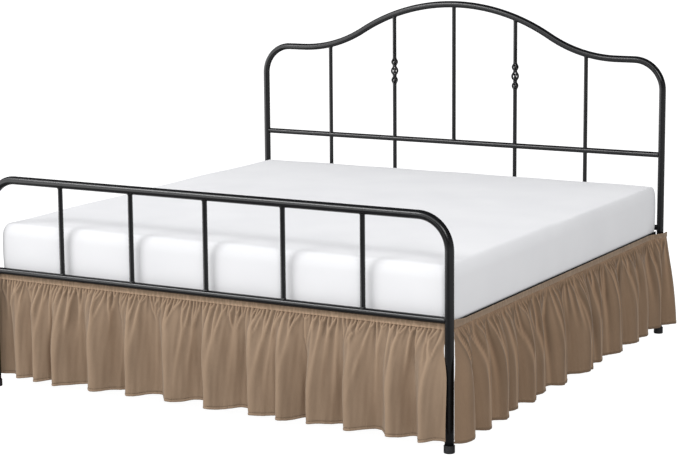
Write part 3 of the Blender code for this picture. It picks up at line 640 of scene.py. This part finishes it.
def end_frames():
    # footboard: one bent tube
    corner_x, corner_z = POST_X - FOOT_BEND, FOOT_TOP_Z - FOOT_BEND
    half = straight((POST_X, 0, 0.012), (POST_X, 0, corner_z), 8)[:-1]
    half += arc(corner_x, corner_z, 0, FOOT_BEND, 0, 90, 20)
    half += straight((corner_x, 0, FOOT_TOP_Z), (0, 0, FOOT_TOP_Z), 8)[1:]
    piece = Shells().tube(joined_path(half), FOOT_TUBE, 28).build("footboard_tube", ENAMEL)
    keep(piece, "foot_post_left", "foot_post_right", "foot_bend_left", "foot_bend_right",
         "foot_top_rail", slot="black_enamel")

    # headboard: one bent tube with its arch
    turn = math.degrees(ARCH_TURN)
    flat_x = (ARCH_RADIUS + FLARE_RADIUS) * math.sin(ARCH_TURN)
    corner_x, corner_z = POST_X - HEAD_BEND, SHOULDER_Z - HEAD_BEND
    half = straight((POST_X, HEAD_Y, 0.012), (POST_X, HEAD_Y, corner_z), 10)[:-1]
    half += arc(corner_x, corner_z, HEAD_Y, HEAD_BEND, 0, 90, 20)
    half += [((corner_x + flat_x) / 2, HEAD_Y, SHOULDER_Z)]
    half += arc(flat_x, SHOULDER_Z + FLARE_RADIUS, HEAD_Y, FLARE_RADIUS, -90, -90 - turn, 20)
    half += arc(0, ARCH_TOP_Z - ARCH_RADIUS, HEAD_Y, ARCH_RADIUS, 90 - turn, 90, 26)[1:]
    piece = Shells().tube(joined_path(half), HEAD_TUBE, 28).build("headboard_tube", ENAMEL)
    keep(piece, "head_post_left", "head_post_right", "head_bend_left", "head_bend_right",
         "head_shoulder_left", "head_shoulder_right", "head_arch", slot="black_enamel")

    # bars: each ends in a small weld where it meets its neighbour
    def bar(name, a, b, radius, grow_a, grow_b, around, *nodes):
        a, b = np.asarray(a, float), np.asarray(b, float)
        length = np.linalg.norm(b - a)
        direction = (b - a) / length
        profile = [(0.0, radius + grow_a), (0.0012, radius + grow_a * 0.75), (0.0030, radius + grow_a * 0.3),
                   (0.0060, radius)]
        steps = max(2, int(length / 0.15))
        profile += [(0.006 + (length - 0.012) * k / steps, radius) for k in range(1, steps)]
        profile += [(length - 0.006, radius), (length - 0.0030, radius + grow_b * 0.3),
                    (length - 0.0012, radius + grow_b * 0.75), (length, radius + grow_b)]
        keep(Shells().turned(a, direction, profile, around).build(name, ENAMEL), *nodes, slot="black_enamel")

    reach = POST_X - FOOT_TUBE + 0.004
    bar("footboard_crossbar", (-reach, 0, FOOT_CROSS_Z), (reach, 0, FOOT_CROSS_Z), FOOT_CROSS,
        0.0018, 0.0018, 24, "foot_crossbar")
    for number, x in enumerate(FOOT_BAR_X, 1):
        bar(f"footboard_bar_{number}", (x, 0, FOOT_CROSS_Z + FOOT_CROSS - 0.0015),
            (x, 0, FOOT_TOP_Z - FOOT_TUBE + 0.0015), FOOT_BAR, 0.0022, 0.0022, 20, f"foot_bar_{number}")
    reach = POST_X - HEAD_TUBE + 0.004
    bar("headboard_crossbar", (-reach, HEAD_Y, HEAD_CROSS_Z), (reach, HEAD_Y, HEAD_CROSS_Z), HEAD_CROSS,
        0.0018, 0.0018, 24, "head_crossbar")
    bar("headboard_lower_bar", (-reach, HEAD_Y, HEAD_LOWER_Z), (reach, HEAD_Y, HEAD_LOWER_Z), HEAD_CROSS,
        0.0018, 0.0018, 24, "head_lower_bar")

    for number, x in enumerate(SPINDLE_X, 1):
        name = f"head_spindle_{number}"
        low = (HEAD_CROSS_Z if number == 3 else HEAD_LOWER_Z) + HEAD_CROSS - 0.0015
        high = arch_height(x) - HEAD_TUBE + 0.0030
        if number in (2, 4):
            caged_spindle(f"headboard_spindle_{number}", x, low, high, name)
        else:
            bar(f"headboard_spindle_{number}", (x, HEAD_Y, low), (x, HEAD_Y, high), SPINDLE,
                0.0018, 0.0018, 18, name)

    # moulded floor caps with a rolled lip
    profile = [(0.0, -0.0035), (0.0006, -0.0013), (0.0020, -0.0003), (0.0045, 0.0), (0.0200, -0.0002),
               (0.0222, -0.0006), (0.0232, -0.0001), (0.0250, 0.0002), (0.0268, 0.0), (0.0278, -0.0009),
               (0.0282, -0.0027)]
    profile = [(high, CAP_RADIUS + more) for high, more in profile]
    for side, x in (("left", -POST_X), ("right", POST_X)):
        for end, y in (("foot", 0.0), ("head", HEAD_Y)):
            piece = Shells().turned((x, y, 0), (0, 0, 1), profile, 36).build(f"{end}_floor_cap_{side}", PLASTIC)
            keep(piece, f"{end}_cap_{side}", slot="black_plastic")


def caged_spindle(name, x, low, high, cad_node):
    """A spindle whose middle opens into three small cages of twisted wire, with collars between."""
    shells = Shells()
    top_end = BEADS[0].z + BEADS[0].half
    low_end = BEADS[2].z - BEADS[2].half
    axis = np.array((x, HEAD_Y, 0.0))
    up = np.array((0.0, 0.0, 1.0))
    shells.turned(axis + up * low, up, [(0, 0.0110), (0.0012, 0.0104), (0.003, 0.0098), (0.006, SPINDLE),
                  ((low_end - low) * 0.5, SPINDLE), (low_end - low - 0.004, SPINDLE),
                  (low_end - low - 0.001, 0.0100), (low_end - low + 0.0015, 0.0098),
                  (low_end - low + 0.0035, 0.0064)], 18)
    shells.turned(axis + up * (top_end - 0.0035), up, [(0, 0.0064), (0.002, 0.0098), (0.0045, 0.0100),
                  (0.0075, SPINDLE), ((high - top_end) * 0.5, SPINDLE), (high - top_end - 0.0025, SPINDLE),
                  (high - top_end + 0.0005, 0.0098), (high - top_end + 0.0035, 0.0110)], 18)
    for upper, lower in ((BEADS[0], BEADS[1]), (BEADS[1], BEADS[2])):
        a, b = lower.z + lower.half, upper.z - upper.half
        middle = (a + b) / 2
        shells.turned(axis + up * (middle - 0.0050), up,
                      [(0, 0.0056), (0.0018, 0.0086), (0.0035, 0.0098), (0.0065, 0.0098), (0.0082, 0.0086),
                       (0.0100, 0.0056)], 18)
    for bead in BEADS:
        wires, wire = 4, 0.0046
        for k in range(wires):
            path = []
            for t in np.linspace(0, 1, 19):
                swell = math.sin(math.pi * t) ** 0.85
                radius = 0.0040 + (bead.radius - wire - 0.0040) * swell
                angle = 2 * math.pi * k / wires + math.radians(69 + 100 * t)
                path.append((x + radius * math.cos(angle), HEAD_Y + radius * math.sin(angle),
                             bead.z - bead.half + 2 * bead.half * t))
            shells.tube(path, wire, 10)
    keep(shells.build(name, ENAMEL), cad_node, slot="black_enamel")


# ---------------------------------------------------------------------------
# Mattress
def mattress():
    """A rounded block with a crowned top, soft edges and slightly full sides."""
    half = np.array((MATTRESS_X, (MATTRESS_Y[1] - MATTRESS_Y[0]) / 2, (MATTRESS_EDGE_Z - MATTRESS_BOTTOM) / 2))
    middle = np.array((0.0, sum(MATTRESS_Y) / 2, (MATTRESS_EDGE_Z + MATTRESS_BOTTOM) / 2))
    round_top, round_low, round_front, round_back = 0.048, 0.005, 0.028, 0.012

    def spread(half_length, count, edge):
        """Places across one side: close together at the rounded edges."""
        inner = np.linspace(-half_length + edge, half_length - edge, count)
        turn = np.linspace(0, 1, 12)[1:-1]
        low = -half_length + edge * turn
        return np.concatenate([[-half_length], low, inner, -low[::-1], [half_length]])

    index = {}
    points, faces = [], []

    def add(point):
        key = tuple(np.round(point, 6))
        if key not in index:
            index[key] = len(points)
            points.append(point)
        return index[key]

    steps = [spread(half[0], 40, 0.07), spread(half[1], 42, 0.07), spread(half[2], 6, 0.07)]
    for axis in range(3):
        a, b = [i for i in range(3) if i != axis]
        for sign in (-1, 1):
            ids = np.empty((len(steps[a]), len(steps[b])), int)
            for i, u in enumerate(steps[a]):
                for j, v in enumerate(steps[b]):
                    p = np.zeros(3)
                    p[a], p[b], p[axis] = u, v, sign * half[axis]
                    ids[i, j] = add(p)
            flip = (sign > 0) != (axis == 1)
            for i in range(len(steps[a]) - 1):
                for j in range(len(steps[b]) - 1):
                    quad = (ids[i, j], ids[i + 1, j], ids[i + 1, j + 1], ids[i, j + 1])
                    faces.append(quad if flip else quad[::-1])
    p = np.array(points)
    # rounded block: pull each point to its distance from an inner block
    up = smooth((p[:, 2] / half[2] + 1) / 2)
    edge = round_low + (round_top - round_low) * up
    round_up = np.where(p[:, 1] < 0, round_front, round_back)
    inner = np.stack([np.clip(p[:, 0], -half[0] + round_up, half[0] - round_up),
                      np.clip(p[:, 1], -half[1] + round_up, half[1] - round_up),
                      np.clip(p[:, 2], -half[2] + round_low, half[2] - round_top)], 1)
    away = p - inner
    size = np.stack([round_up, round_up, edge], 1)
    scaled_away = away / size
    length = np.maximum(np.linalg.norm(scaled_away, axis=1), 1e-9)
    biggest = np.maximum(np.abs(scaled_away).max(axis=1), 1e-9)
    q = inner + away * (biggest / length)[:, None]
    across = np.clip(1 - (q[:, 0] / half[0]) ** 2, 0, 1)
    along = np.clip(1 - (q[:, 1] / half[1]) ** 2, 0, 1)
    height = np.clip(1 - (q[:, 2] / half[2]) ** 2, 0, 1)
    top = smooth((q[:, 2] / half[2] - 0.2) / 0.8)
    q[:, 2] += MATTRESS_CROWN * np.sqrt(across * along) * top
    full = 0.0035 * height
    q[:, 0] += np.sign(q[:, 0]) * full * smooth((np.abs(q[:, 0]) / half[0] - 0.85) / 0.15)
    q[:, 1] += np.sign(q[:, 1]) * full * smooth((np.abs(q[:, 1]) / half[1] - 0.85) / 0.15)
    # a little unevenness, as foam has
    q[:, 2] += 0.0012 * top * (np.sin(q[:, 0] * 9.1 + 0.7) * np.sin(q[:, 1] * 7.3 + 1.9) + 0.6 * np.sin(q[:, 0] * 17 + q[:, 1] * 13))
    piece = mesh_object("mattress_body", q + middle, faces, TICKING)
    keep(piece, "mattress", slot="white_ticking")


# ---------------------------------------------------------------------------
# Skirt
def band_x(y):
    return SIDE_BAND_X + LAP_OUT * smooth((y - LAP_START_Y) / LAP_LENGTH)


def opened(down, bell):
    below = np.maximum(0.0, down - STRAIGHT) / (1 - STRAIGHT)
    return 1 - (1 - below) ** bell


def wave(marks, fine=80):
    """Dense places along the hem, through ridges and valleys."""
    place, out = [], []
    for (p0, o0), (p1, o1) in zip(marks, marks[1:]):
        k = np.arange(fine) / fine
        place.append(p0 + (p1 - p0) * k)
        out.append(o0 + (o1 - o0) * (1 - np.cos(math.pi * k)) / 2)
    place.append([marks[-1][0]])
    out.append([marks[-1][1]])
    return np.concatenate(place), np.concatenate(out)


def row_drops():
    """Distances below the band: close at the gathers and at the hem."""
    upper = [0, 1.5, 3, 5, 7.5, 10, 13, 16.5, 20.5, 25, 30, 36, 43, 51, 60, 70, 81, 93, 106, 120, 135, 151,
             168, 186, 204, 222, 240, 258, 276, 294, 312]
    above_hem = [55, 43.5, 33.5, 25.5, 19.5, 15.5, 13, 11.5, 10.5, 9.5, 7.7, 5.2, 2.7, 0.9]
    return np.concatenate([np.array(upper) / 1000.0, DROP - np.array(above_hem) / 1000.0])


class Noise:
    """Smooth seeded unevenness: a sum of waves."""

    def __init__(self, rng, long_u, long_v, count=10):
        self.f = rng.normal(0, 1, (count, 2)) / np.array((long_u, long_v))
        self.phase = rng.uniform(0, 2 * math.pi, count)

    def at(self, u, v):
        total = 0.0
        for (fu, fv), phase in zip(self.f, self.phase):
            total = total + np.sin(2 * math.pi * (u * fu + v * fv) + phase)
        return total / math.sqrt(len(self.phase) / 2)


# A ridge or a trough that runs down the cloth: one value per row for its place along the
# panel, its height and its width
Strand = namedtuple("Strand", "place height width")


def run_together(rng, fall, strands, shares, depths, heights, width, slope):
    """Neighbours, in ones, twos and threes, become one broader strand each. Gives the
    broader ones, the old ones as they end, and each group's size."""
    broader, ended, sizes = [], [], []
    i = 0
    while i < len(strands):
        group = strands[i:i + int(rng.choice((1, 2, 3), p=shares))]
        i += len(group)
        sizes.append(len(group))
        depth, height = rng.uniform(*depths), rng.uniform(*heights)
        broad = width * rng.uniform(0.8, 1.25)
        grown = smooth(fall / depth)
        if len(group) == 1:
            one = group[0]
            broader.append(Strand(one.place, one.height + (height - one.height) * grown,
                                  one.width + (broad - one.width) * grown))
            continue
        middle = np.mean([strand.place for strand in group], axis=0)
        middle = middle + rng.normal(slope, 0.10) * fall * (1 - 0.6 * smooth(fall / 0.15))
        meet = np.interp(depth, fall, middle)
        for strand in group:
            gap = meet - np.interp(depth, fall, strand.place)
            bent = strand.place + gap * np.clip(fall / depth, 0, 1) ** 1.2
            ended.append(Strand(bent, strand.height * (1 - smooth((fall - 0.5 * depth) / (0.5 * depth))), strand.width))
        rise = smooth((fall - 0.30 * depth) / (0.70 * depth))
        broader.append(Strand(middle, height * rise, strand.width + (broad - strand.width) * grown))
    return broader, ended, sizes


def gather_strands(rng, fall, start, end, slope, crests, deep_share):
    """Fine ridges start at the seam every 14 mm or so and run together on the way down,
    with dark wedges between them. crests: the main ridges' places, one row array each."""
    seam, at = [], start + 0.004
    while at < end - 0.004:
        seam.append(at)
        at += float(np.clip(rng.normal(0.0140, 0.0040), 0.0080, 0.0235))
    born = 0.50 + 0.50 * smooth(fall / 0.006)
    strands = []
    for at in seam:
        turn = rng.normal(slope, 0.13)
        place = at + turn * fall * (1 - 0.65 * smooth(fall / 0.12))
        strands.append(Strand(place, rng.uniform(0.0042, 0.0072) * born, np.full(len(fall), rng.uniform(0.0018, 0.0026))))
    leaves = strands
    first, found, sizes = run_together(rng, fall, strands, (0.34, 0.42, 0.24), (0.022, 0.062),
                                       (0.0056, 0.0086), 0.0038, slope)
    second, ended, _ = run_together(rng, fall, first, (0.42, 0.40, 0.18), (0.085, 0.185),
                                    (0.0068 * deep_share, 0.0108 * deep_share), 0.0056, slope * 0.5)
    found = found + ended
    for strand in second:
        gaps = [np.interp(0.15, fall, crest) - np.interp(0.15, fall, strand.place) for crest in crests]
        near = int(np.argmin(np.abs(gaps)))
        if abs(gaps[near]) < 0.042:
            pull = 0.85 * smooth((fall - 0.05) / 0.26)
            place = strand.place * (1 - pull) + crests[near] * pull
            height = strand.height * (1 - 0.55 * smooth((fall - 0.14) / 0.20))
        else:
            place = strand.place
            if rng.random() < 0.5:
                height = strand.height * (1 - 0.6 * smooth((fall - 0.12) / 0.24))
            else:
                last = rng.uniform(0.20, 0.36)
                height = strand.height * (1 - smooth((fall - 0.35 * last) / (0.65 * last)))
        found.append(Strand(place, height, strand.width * (1 + 0.9 * fall / 0.38)))

    # wedges: short inside a group that closes, longer between groups
    group_of = [index for index, size in enumerate(sizes) for _ in range(size)]
    wedges = []
    for i in range(len(leaves) - 1):
        together = group_of[i] == group_of[i + 1]
        life = rng.uniform(0.014, 0.030) if together else rng.uniform(0.035, 0.110)
        deep = rng.uniform(0.0020, 0.0036) if together else rng.uniform(0.0028, 0.0056)
        fade = 1 - smooth((fall - 0.3 * life) / (0.7 * life))
        place = (leaves[i].place + leaves[i + 1].place) / 2
        gap = seam[i + 1] - seam[i]
        width = gap * 0.17 + (0.0 if together else 0.0030) * np.clip(fall / 0.05, 0, 1)
        wedges.append(Strand(place, -deep * born * fade, np.broadcast_to(width, fall.shape)))
    return found + wedges, seam


def fine_relief(rng, along, fall, start, end, slope, crests, deep_share):
    """Height of the fine gathers above the main folds, for places along the panel as seen
    straight on."""
    strands, seam = gather_strands(rng, fall, start, end, slope, crests, deep_share)
    relief = np.full_like(along, -0.0014)
    skew = 0.25 * np.sign(slope)
    for strand in strands:
        step = (along - strand.place[:, None]) / (1.3 * strand.width[:, None])
        step = step * np.where(step > 0, 1 + skew, 1 - skew)
        relief += strand.height[:, None] * np.exp(-np.abs(step) ** 1.7)
    # one crisp line down each main ridge
    level = fall / DROP
    for crest in crests:
        step = (along - crest[:, None]) / (0.0050 + 0.012 * level[:, None])
        relief += ((0.0030 - 0.0004 * level) * smooth(fall / 0.02))[:, None] * np.exp(-np.abs(step) ** 1.7)
    return relief, seam


def soft_relief(rng, along, down, start, end, lean):
    """Broader soft folds between the main ones."""
    level = down[:, :1]
    relief = np.zeros_like(along)
    at = start + rng.uniform(0.0, 0.03)
    while at < end:
        life = rng.uniform(0.45, 1.25)
        begin = rng.uniform(0.0, 0.12)
        height = rng.uniform(0.0015, 0.0060)
        width = rng.uniform(0.010, 0.018)
        drift = lean * rng.uniform(0.4, 2.4)
        rise = smooth((level - begin) / 0.22)
        fade = np.clip(1 - (level - begin) / life, 0, 1)
        path = at + drift * level
        spread = width * (1 + 0.9 * level)
        relief += height * rise * fade * np.exp(-0.5 * ((along - path) / spread) ** 2)
        at += rng.uniform(0.040, 0.085)
    return relief


def cloth_panel(name, seed, marks, place_at, sides, lean, mirror, seam_sign, cloth, painted_shading_shows, deep_share):
    """One gathered drop. place_at(hem place, hem out, down) gives the main folds' surface;
    sides says which coordinate runs along the panel."""
    rng = np.random.default_rng(seed)
    hem, out = wave(marks)
    arc_length = np.concatenate([[0], np.cumsum(np.hypot(np.diff(hem), np.diff(out)))])
    weight = arc_length + (hem - hem[0]) * 1.0
    columns = 1450
    pick = np.linspace(0, weight[-1], columns)
    hem_c = np.interp(pick, weight, hem)
    out_c = np.interp(pick, weight, out)
    flat_u = np.interp(pick, weight, arc_length)
    drops = row_drops()
    down = np.repeat(drops[:, None] / DROP, columns, 1)
    base = place_at(hem_c[None, :], out_c[None, :], down)
    along = base[..., sides]

    # the main ridges: marks that stand out further than both neighbours
    fall = drops
    crests = []
    for before, (place, stands), after in zip(marks, marks[1:], marks[2:]):
        if stands > before[1] and stands > after[1]:
            column = place_at(np.full((len(drops), 1), place), np.full((len(drops), 1), stands), down[:, :1])
            crests.append(column[:, 0, sides])
    lo, hi = along[0].min(), along[0].max()
    relief, seam = fine_relief(rng, along, fall, lo, hi, lean, crests, deep_share)
    relief += soft_relief(rng, along, down, lo, hi, 0.1 * lean)
    # how far each place stands above or below the cloth round it, for the painted light on crests and painted shade in
    # troughs
    step = np.median(np.diff(flat_u))
    reach = np.arange(-14, 15) * step
    wide = np.exp(-0.5 * (reach / 0.011) ** 2)
    padded = np.pad(relief, ((0, 0), (14, 14)), mode="edge")
    round_it = sum(k * padded[:, i:i + columns] for i, k in enumerate(wide / wide.sum()))
    nap = np.tanh((relief - round_it) / 0.0020) * np.interp(fall, PAINTED_SHADING_FALL, painted_shading_shows)[:, None]
    # both ends stay nearly plain, clear of the posts
    from_edge = np.minimum(flat_u - flat_u[0], flat_u[-1] - flat_u)[None, :]
    relief *= 0.12 + 0.88 * smooth((from_edge - 0.006) / 0.055)

    uneven = Noise(rng, 0.10, 0.55)
    finer = Noise(rng, 0.035, 0.25)
    relief += 0.0016 * uneven.at(along, down * DROP) * smooth(down / 0.2)
    relief += 0.0006 * finer.at(along, down * DROP) * smooth(down / 0.1)

    # hem: a dent along its stitches, fullness below it, small puckers
    above = DROP - drops[:, None]
    pucker = Noise(rng, 0.014, 1.0, 14).at(flat_u[None, :], 0.0 * flat_u[None, :])
    relief += -0.0015 * np.exp(-0.5 * ((above - HEM_TURN) / 0.0017) ** 2) * (1 + 0.30 * pucker)
    relief += 0.0009 * np.exp(-0.5 * ((above - 0.0045) / 0.0035) ** 2)
    relief += 0.00035 * pucker * np.exp(-0.5 * ((above - HEM_TURN) / 0.011) ** 2)
    # the same along both free side edges
    relief += -0.0007 * np.exp(-0.5 * ((from_edge - 0.009) / 0.0013) ** 2)

    # normals of the main folds, turned outwards
    along_c = np.gradient(base, axis=1)
    down_c = np.gradient(base, axis=0)
    normal = np.cross(down_c, along_c)
    normal /= np.maximum(np.linalg.norm(normal, axis=2), 1e-12)[..., None]
    normal *= seam_sign
    surface = base + normal * relief[..., None]
    # the hem line wanders a little up and down
    wander = 0.0022 * Noise(rng, 0.22, 1.0, 6).at(flat_u[None, :], 0.0 * flat_u[None, :])
    surface[..., 2] += wander * smooth((down - 0.25) / 0.75)

    # behind the band: the cloth runs on up inside it
    top = surface[:1].copy()
    tuck = []
    for up, back in ((0.0065, 0.0006), (0.0030, 0.0003)):
        row = base[:1].copy() + normal[:1] * (relief[:1, :, None] * 0.15)
        row[..., 2] += up
        row -= normal[:1] * back
        tuck.append(row)
    # the turned-up hem: round the edge and up the back
    last = surface[-1:]
    wrap = []
    for lift, back in ((-0.0004, 0.0006), (0.0002, 0.0012), (0.003, 0.0015), (0.0075, 0.0015), (HEM_TURN, 0.0011)):
        row = last - normal[-1:] * back
        row[..., 2] += lift
        wrap.append(row)
    grid = np.concatenate(tuck + [surface] + wrap)
    rows = len(grid)
    v = np.concatenate([[DROP + 0.0065, DROP + 0.003], DROP - drops, [0.0004, -0.001, -0.004, -0.0085, -0.0115]])
    uv = np.stack(np.broadcast_arrays(flat_u[None, :], v[:, None]), -1)
    if mirror:
        grid[..., 0] *= -1
    faces = grid_faces(rows, columns, flip=(seam_sign > 0) == mirror)
    nap = np.concatenate([nap[:1] * 0.5] * len(tuck) + [nap] + [nap[-1:] * 0.0] * len(wrap))
    piece = mesh_object(name, grid, faces, cloth, uv, nap=nap)
    return piece, seam


def foot_place(hem, out, down):
    share = opened(down, FOOT_BELL)
    lean = FOOT_LEAN * smooth((hem - FOOT_LEFT_X) / 0.12) * smooth((FOOT_RIGHT_HEM_X - hem) / 0.12)
    # the right end stays inside the post until it has come out in front of it
    last = FOOT_END.ridge
    held = (FOOT_RIGHT_HEM_X - FOOT_RIGHT_X) / (FOOT_RIGHT_HEM_X - last)
    x = hem - np.maximum(0.0, hem - last) * held * (1 - smooth((share - 0.38) / 0.55))
    y = FOOT_BAND_Y + (-out - FOOT_BAND_Y) * share
    z = RUFFLE_TOP - DROP * down
    return np.stack(np.broadcast_arrays(x - lean * (1 - share), y, z), -1)


SIDE_FIRST = SIDE_START_Y - FRONT_EDGE_FLARE


def side_place(hem, out, down):
    to_end = smooth((SIDE_END_Y - hem) / END_LENGTH)
    share = opened(down, END_BELL + (SIDE_BELL - END_BELL) * to_end)
    start = SIDE_START_Y - SIDE_FIRST
    top_y = hem + start * (1 - smooth((hem - SIDE_FIRST) / (6 * start)))
    top_y = top_y + SIDE_LEAN * smooth((hem - SIDE_FIRST) / 0.12) * smooth((SIDE_END_Y - hem) / 0.12)
    y = top_y + (hem - top_y) * share
    y = y - FRONT_EDGE_TUCK * smooth((share - 0.6) / 0.4) * (1 - smooth((hem - SIDE_FIRST) / 0.07))
    top_x = band_x(top_y)
    x = top_x + (SIDE_BAND_X + out - top_x) * share
    z = RUFFLE_TOP - DROP * down
    return np.stack(np.broadcast_arrays(x, y, z), -1)


def heading(name, seed, line, outwards, top_at, ridges, cad_node, mirror, cloth):
    """The narrow strip that a drop is gathered into. line: (x, y) along its middle;
    outwards: its unit direction at each of them; top_at: height of its top edge there."""
    rng = np.random.default_rng(seed)
    line = np.asarray(line, float)
    length = np.concatenate([[0], np.cumsum(np.linalg.norm(np.diff(line, axis=0), axis=1))])
    count = int(length[-1] / 0.0021)
    s = np.linspace(0, length[-1], count)
    mid = np.stack([np.interp(s, length, line[:, k]) for k in (0, 1)], 1)
    out = np.stack([np.interp(s, length, np.asarray(outwards, float)[:, k]) for k in (0, 1)], 1)
    out /= np.linalg.norm(out, axis=1)[:, None]
    top = np.interp(s, length, top_at)
    # crinkles: narrow upright creases, some only at the lower or the upper edge
    crease_low = np.zeros(count)
    crease_high = np.zeros(count)
    at = 0.002
    while at < length[-1]:
        size = rng.uniform(0.35, 1.0)
        lean = rng.normal(0, 0.0018)
        width = rng.uniform(0.0014, 0.0026)
        low, high = rng.uniform(0.5, 1.0), rng.uniform(0.1, 1.0)
        crease_low += size * low * np.exp(-0.5 * ((s - at) / width) ** 2)
        crease_high += size * high * np.exp(-0.5 * ((s - at - lean) / width) ** 2)
        at += rng.uniform(0.0050, 0.0105)
    for ridge_at in ridges:
        crease_low += 1.0 * np.exp(-0.5 * ((s - ridge_at) / 0.0030) ** 2)
        if rng.random() < 0.6:
            crease_high += rng.uniform(0.4, 0.9) * np.exp(-0.5 * ((s - ridge_at - rng.normal(0, 0.003)) / 0.0026) ** 2)
    wavy = Noise(rng, 0.12, 1.0, 8).at(s, 0 * s) * 0.0005
    # profile round the strip: (share of height, distance outwards)
    profile = ((0.000, 0.00020), (0.010, 0.00115), (0.10, 0.00165), (0.24, 0.00150), (0.40, 0.00130),
               (0.56, 0.00130), (0.72, 0.00140), (0.86, 0.00150), (0.955, 0.00110), (1.000, 0.0),
               (0.955, -0.00110), (0.50, -0.00125), (0.010, -0.00115))
    rows, painted_crease_shading = [], []
    for share, depth in profile:
        z = BAND_BOTTOM + (top - BAND_BOTTOM) * share
        front = 1.0 if depth > 0 else 0.0
        swell = crease_low * (1 - smooth(share / 0.75)) + crease_high * smooth((share - 0.15) / 0.75)
        bulge = front * 0.0013 * swell * (0.35 + 0.65 * math.sin(math.pi * min(1.0, share * 0.9 + 0.1)))
        distance = depth + bulge + wavy * front
        edge = 0.0006 * swell * (1.0 if share > 0.95 else 0.0)
        # painted shading on the heading: lighter on its raised creases, darker between them
        painted_crease_shading.append(front * 0.42 * np.tanh((swell - 0.55) / 0.5))
        rows.append(np.stack([mid[:, 0] + out[:, 0] * distance, mid[:, 1] + out[:, 1] * distance, z + edge], 1))
    grid = np.stack(rows)
    v = [share * (BAND_TOP - BAND_BOTTOM) for share, _ in profile]
    uv = np.stack(np.broadcast_arrays((s * 1.25)[None, :], np.array(v)[:, None]), -1)
    if mirror:
        grid[..., 0] *= -1
    cols = count
    faces = grid_faces(len(profile), cols, closed_rows=True, flip=mirror)
    # close both ends
    piece_faces = [tuple(f) for f in faces]
    ring = [r * cols for r in range(len(profile))]
    other = [r * cols + cols - 1 for r in range(len(profile))]
    piece_faces.append(tuple(ring[::-1] if not mirror else ring))
    piece_faces.append(tuple(other if not mirror else other[::-1]))
    piece = mesh_object(name, grid, piece_faces, cloth, uv.reshape(-1, 2), nap=np.stack(painted_crease_shading))
    keep(piece, cad_node, slot="taupe_cloth")
    return piece, length[-1]


def skirt():
    # foot
    marks = [(FOOT_START.ridge, FOOT_START.ridge_out), (FOOT_START.valley, FOOT_START.valley_out)]
    for fold in FOOT_FOLDS:
        marks += [(fold.ridge, fold.ridge_out), (fold.valley, fold.valley_out)]
    marks += [(FOOT_END.ridge, FOOT_END.ridge_out), (FOOT_END.valley, FOOT_END.valley_out)]
    piece, seam = cloth_panel("foot_ruffle", 11, marks, foot_place, 0, -0.10, False, 1, FOOT_CLOTH, FOOT_PAINTED_SHADING, 0.62)
    keep(piece, "ruffle_foot", slot="taupe_cloth")
    xs = np.linspace(FOOT_LEFT_X, FOOT_RIGHT_X, 60)
    band, _ = heading("foot_heading", 21, [(x, FOOT_BAND_Y) for x in xs], [(0, -1)] * len(xs),
                      np.full(len(xs), BAND_TOP), [at - FOOT_LEFT_X for at in seam], "band_foot", False, FOOT_BAND)

    # sides
    marks = [(SIDE_FIRST, SIDE_FRONT_OUT)]
    for fold in SIDE_FOLDS:
        marks += [(fold.ridge, fold.ridge_out), (fold.valley, fold.valley_out)]
    marks.append((SIDE_END_Y, SIDE_END_OUT))
    for side, seed, mirror in (("right", 5, False), ("left", 8, True)):
        piece, seam = cloth_panel(f"{side}_ruffle", seed, marks, side_place, 1, 0.07, mirror, -1, SIDE_CLOTH, SIDE_PAINTED_SHADING, 1.0)
        keep(piece, f"ruffle_{side}", slot="taupe_cloth")
        ys = np.concatenate([np.linspace(SIDE_BAND_START_Y, LAP_START_Y, 60), np.linspace(LAP_START_Y, SIDE_END_Y, 40)[1:]])
        slope = np.gradient(band_x(ys), ys)
        outwards = np.stack([np.ones_like(ys), -slope], 1)
        top = BAND_TOP + 0.009 * (1 - smooth((ys - 0.075) / 0.055))
        line = np.stack([band_x(ys), ys], 1)
        band, _ = heading(f"{side}_heading", seed + 20, line, outwards, top,
                          [at - SIDE_BAND_START_Y for at in seam], f"band_{side}", mirror, SIDE_BAND)


# ---------------------------------------------------------------------------
# CAD nodes that stay: rails, legs and slats
def carried_over():
    nodes = frame["nodes"]
    for name in ("side_rail_left", "side_rail_right", "foot_rail", "head_rail", "centre_rail",
                 "centre_leg_foot", "centre_leg_head"):
        obj = nodes[name]
        material = enamel_material(f"{name}_coat", rough=0.42)
        for slot in obj.material_slots:
            slot.material = material
    for number in range(1, 8):
        obj = nodes[f"slat_{number}"]
        material = pine_material(f"slat_{number}_pine", number)
        for slot in obj.material_slots:
            slot.material = material


make_camera()
make_stage()
end_frames()
mattress()
skirt()
carried_over()
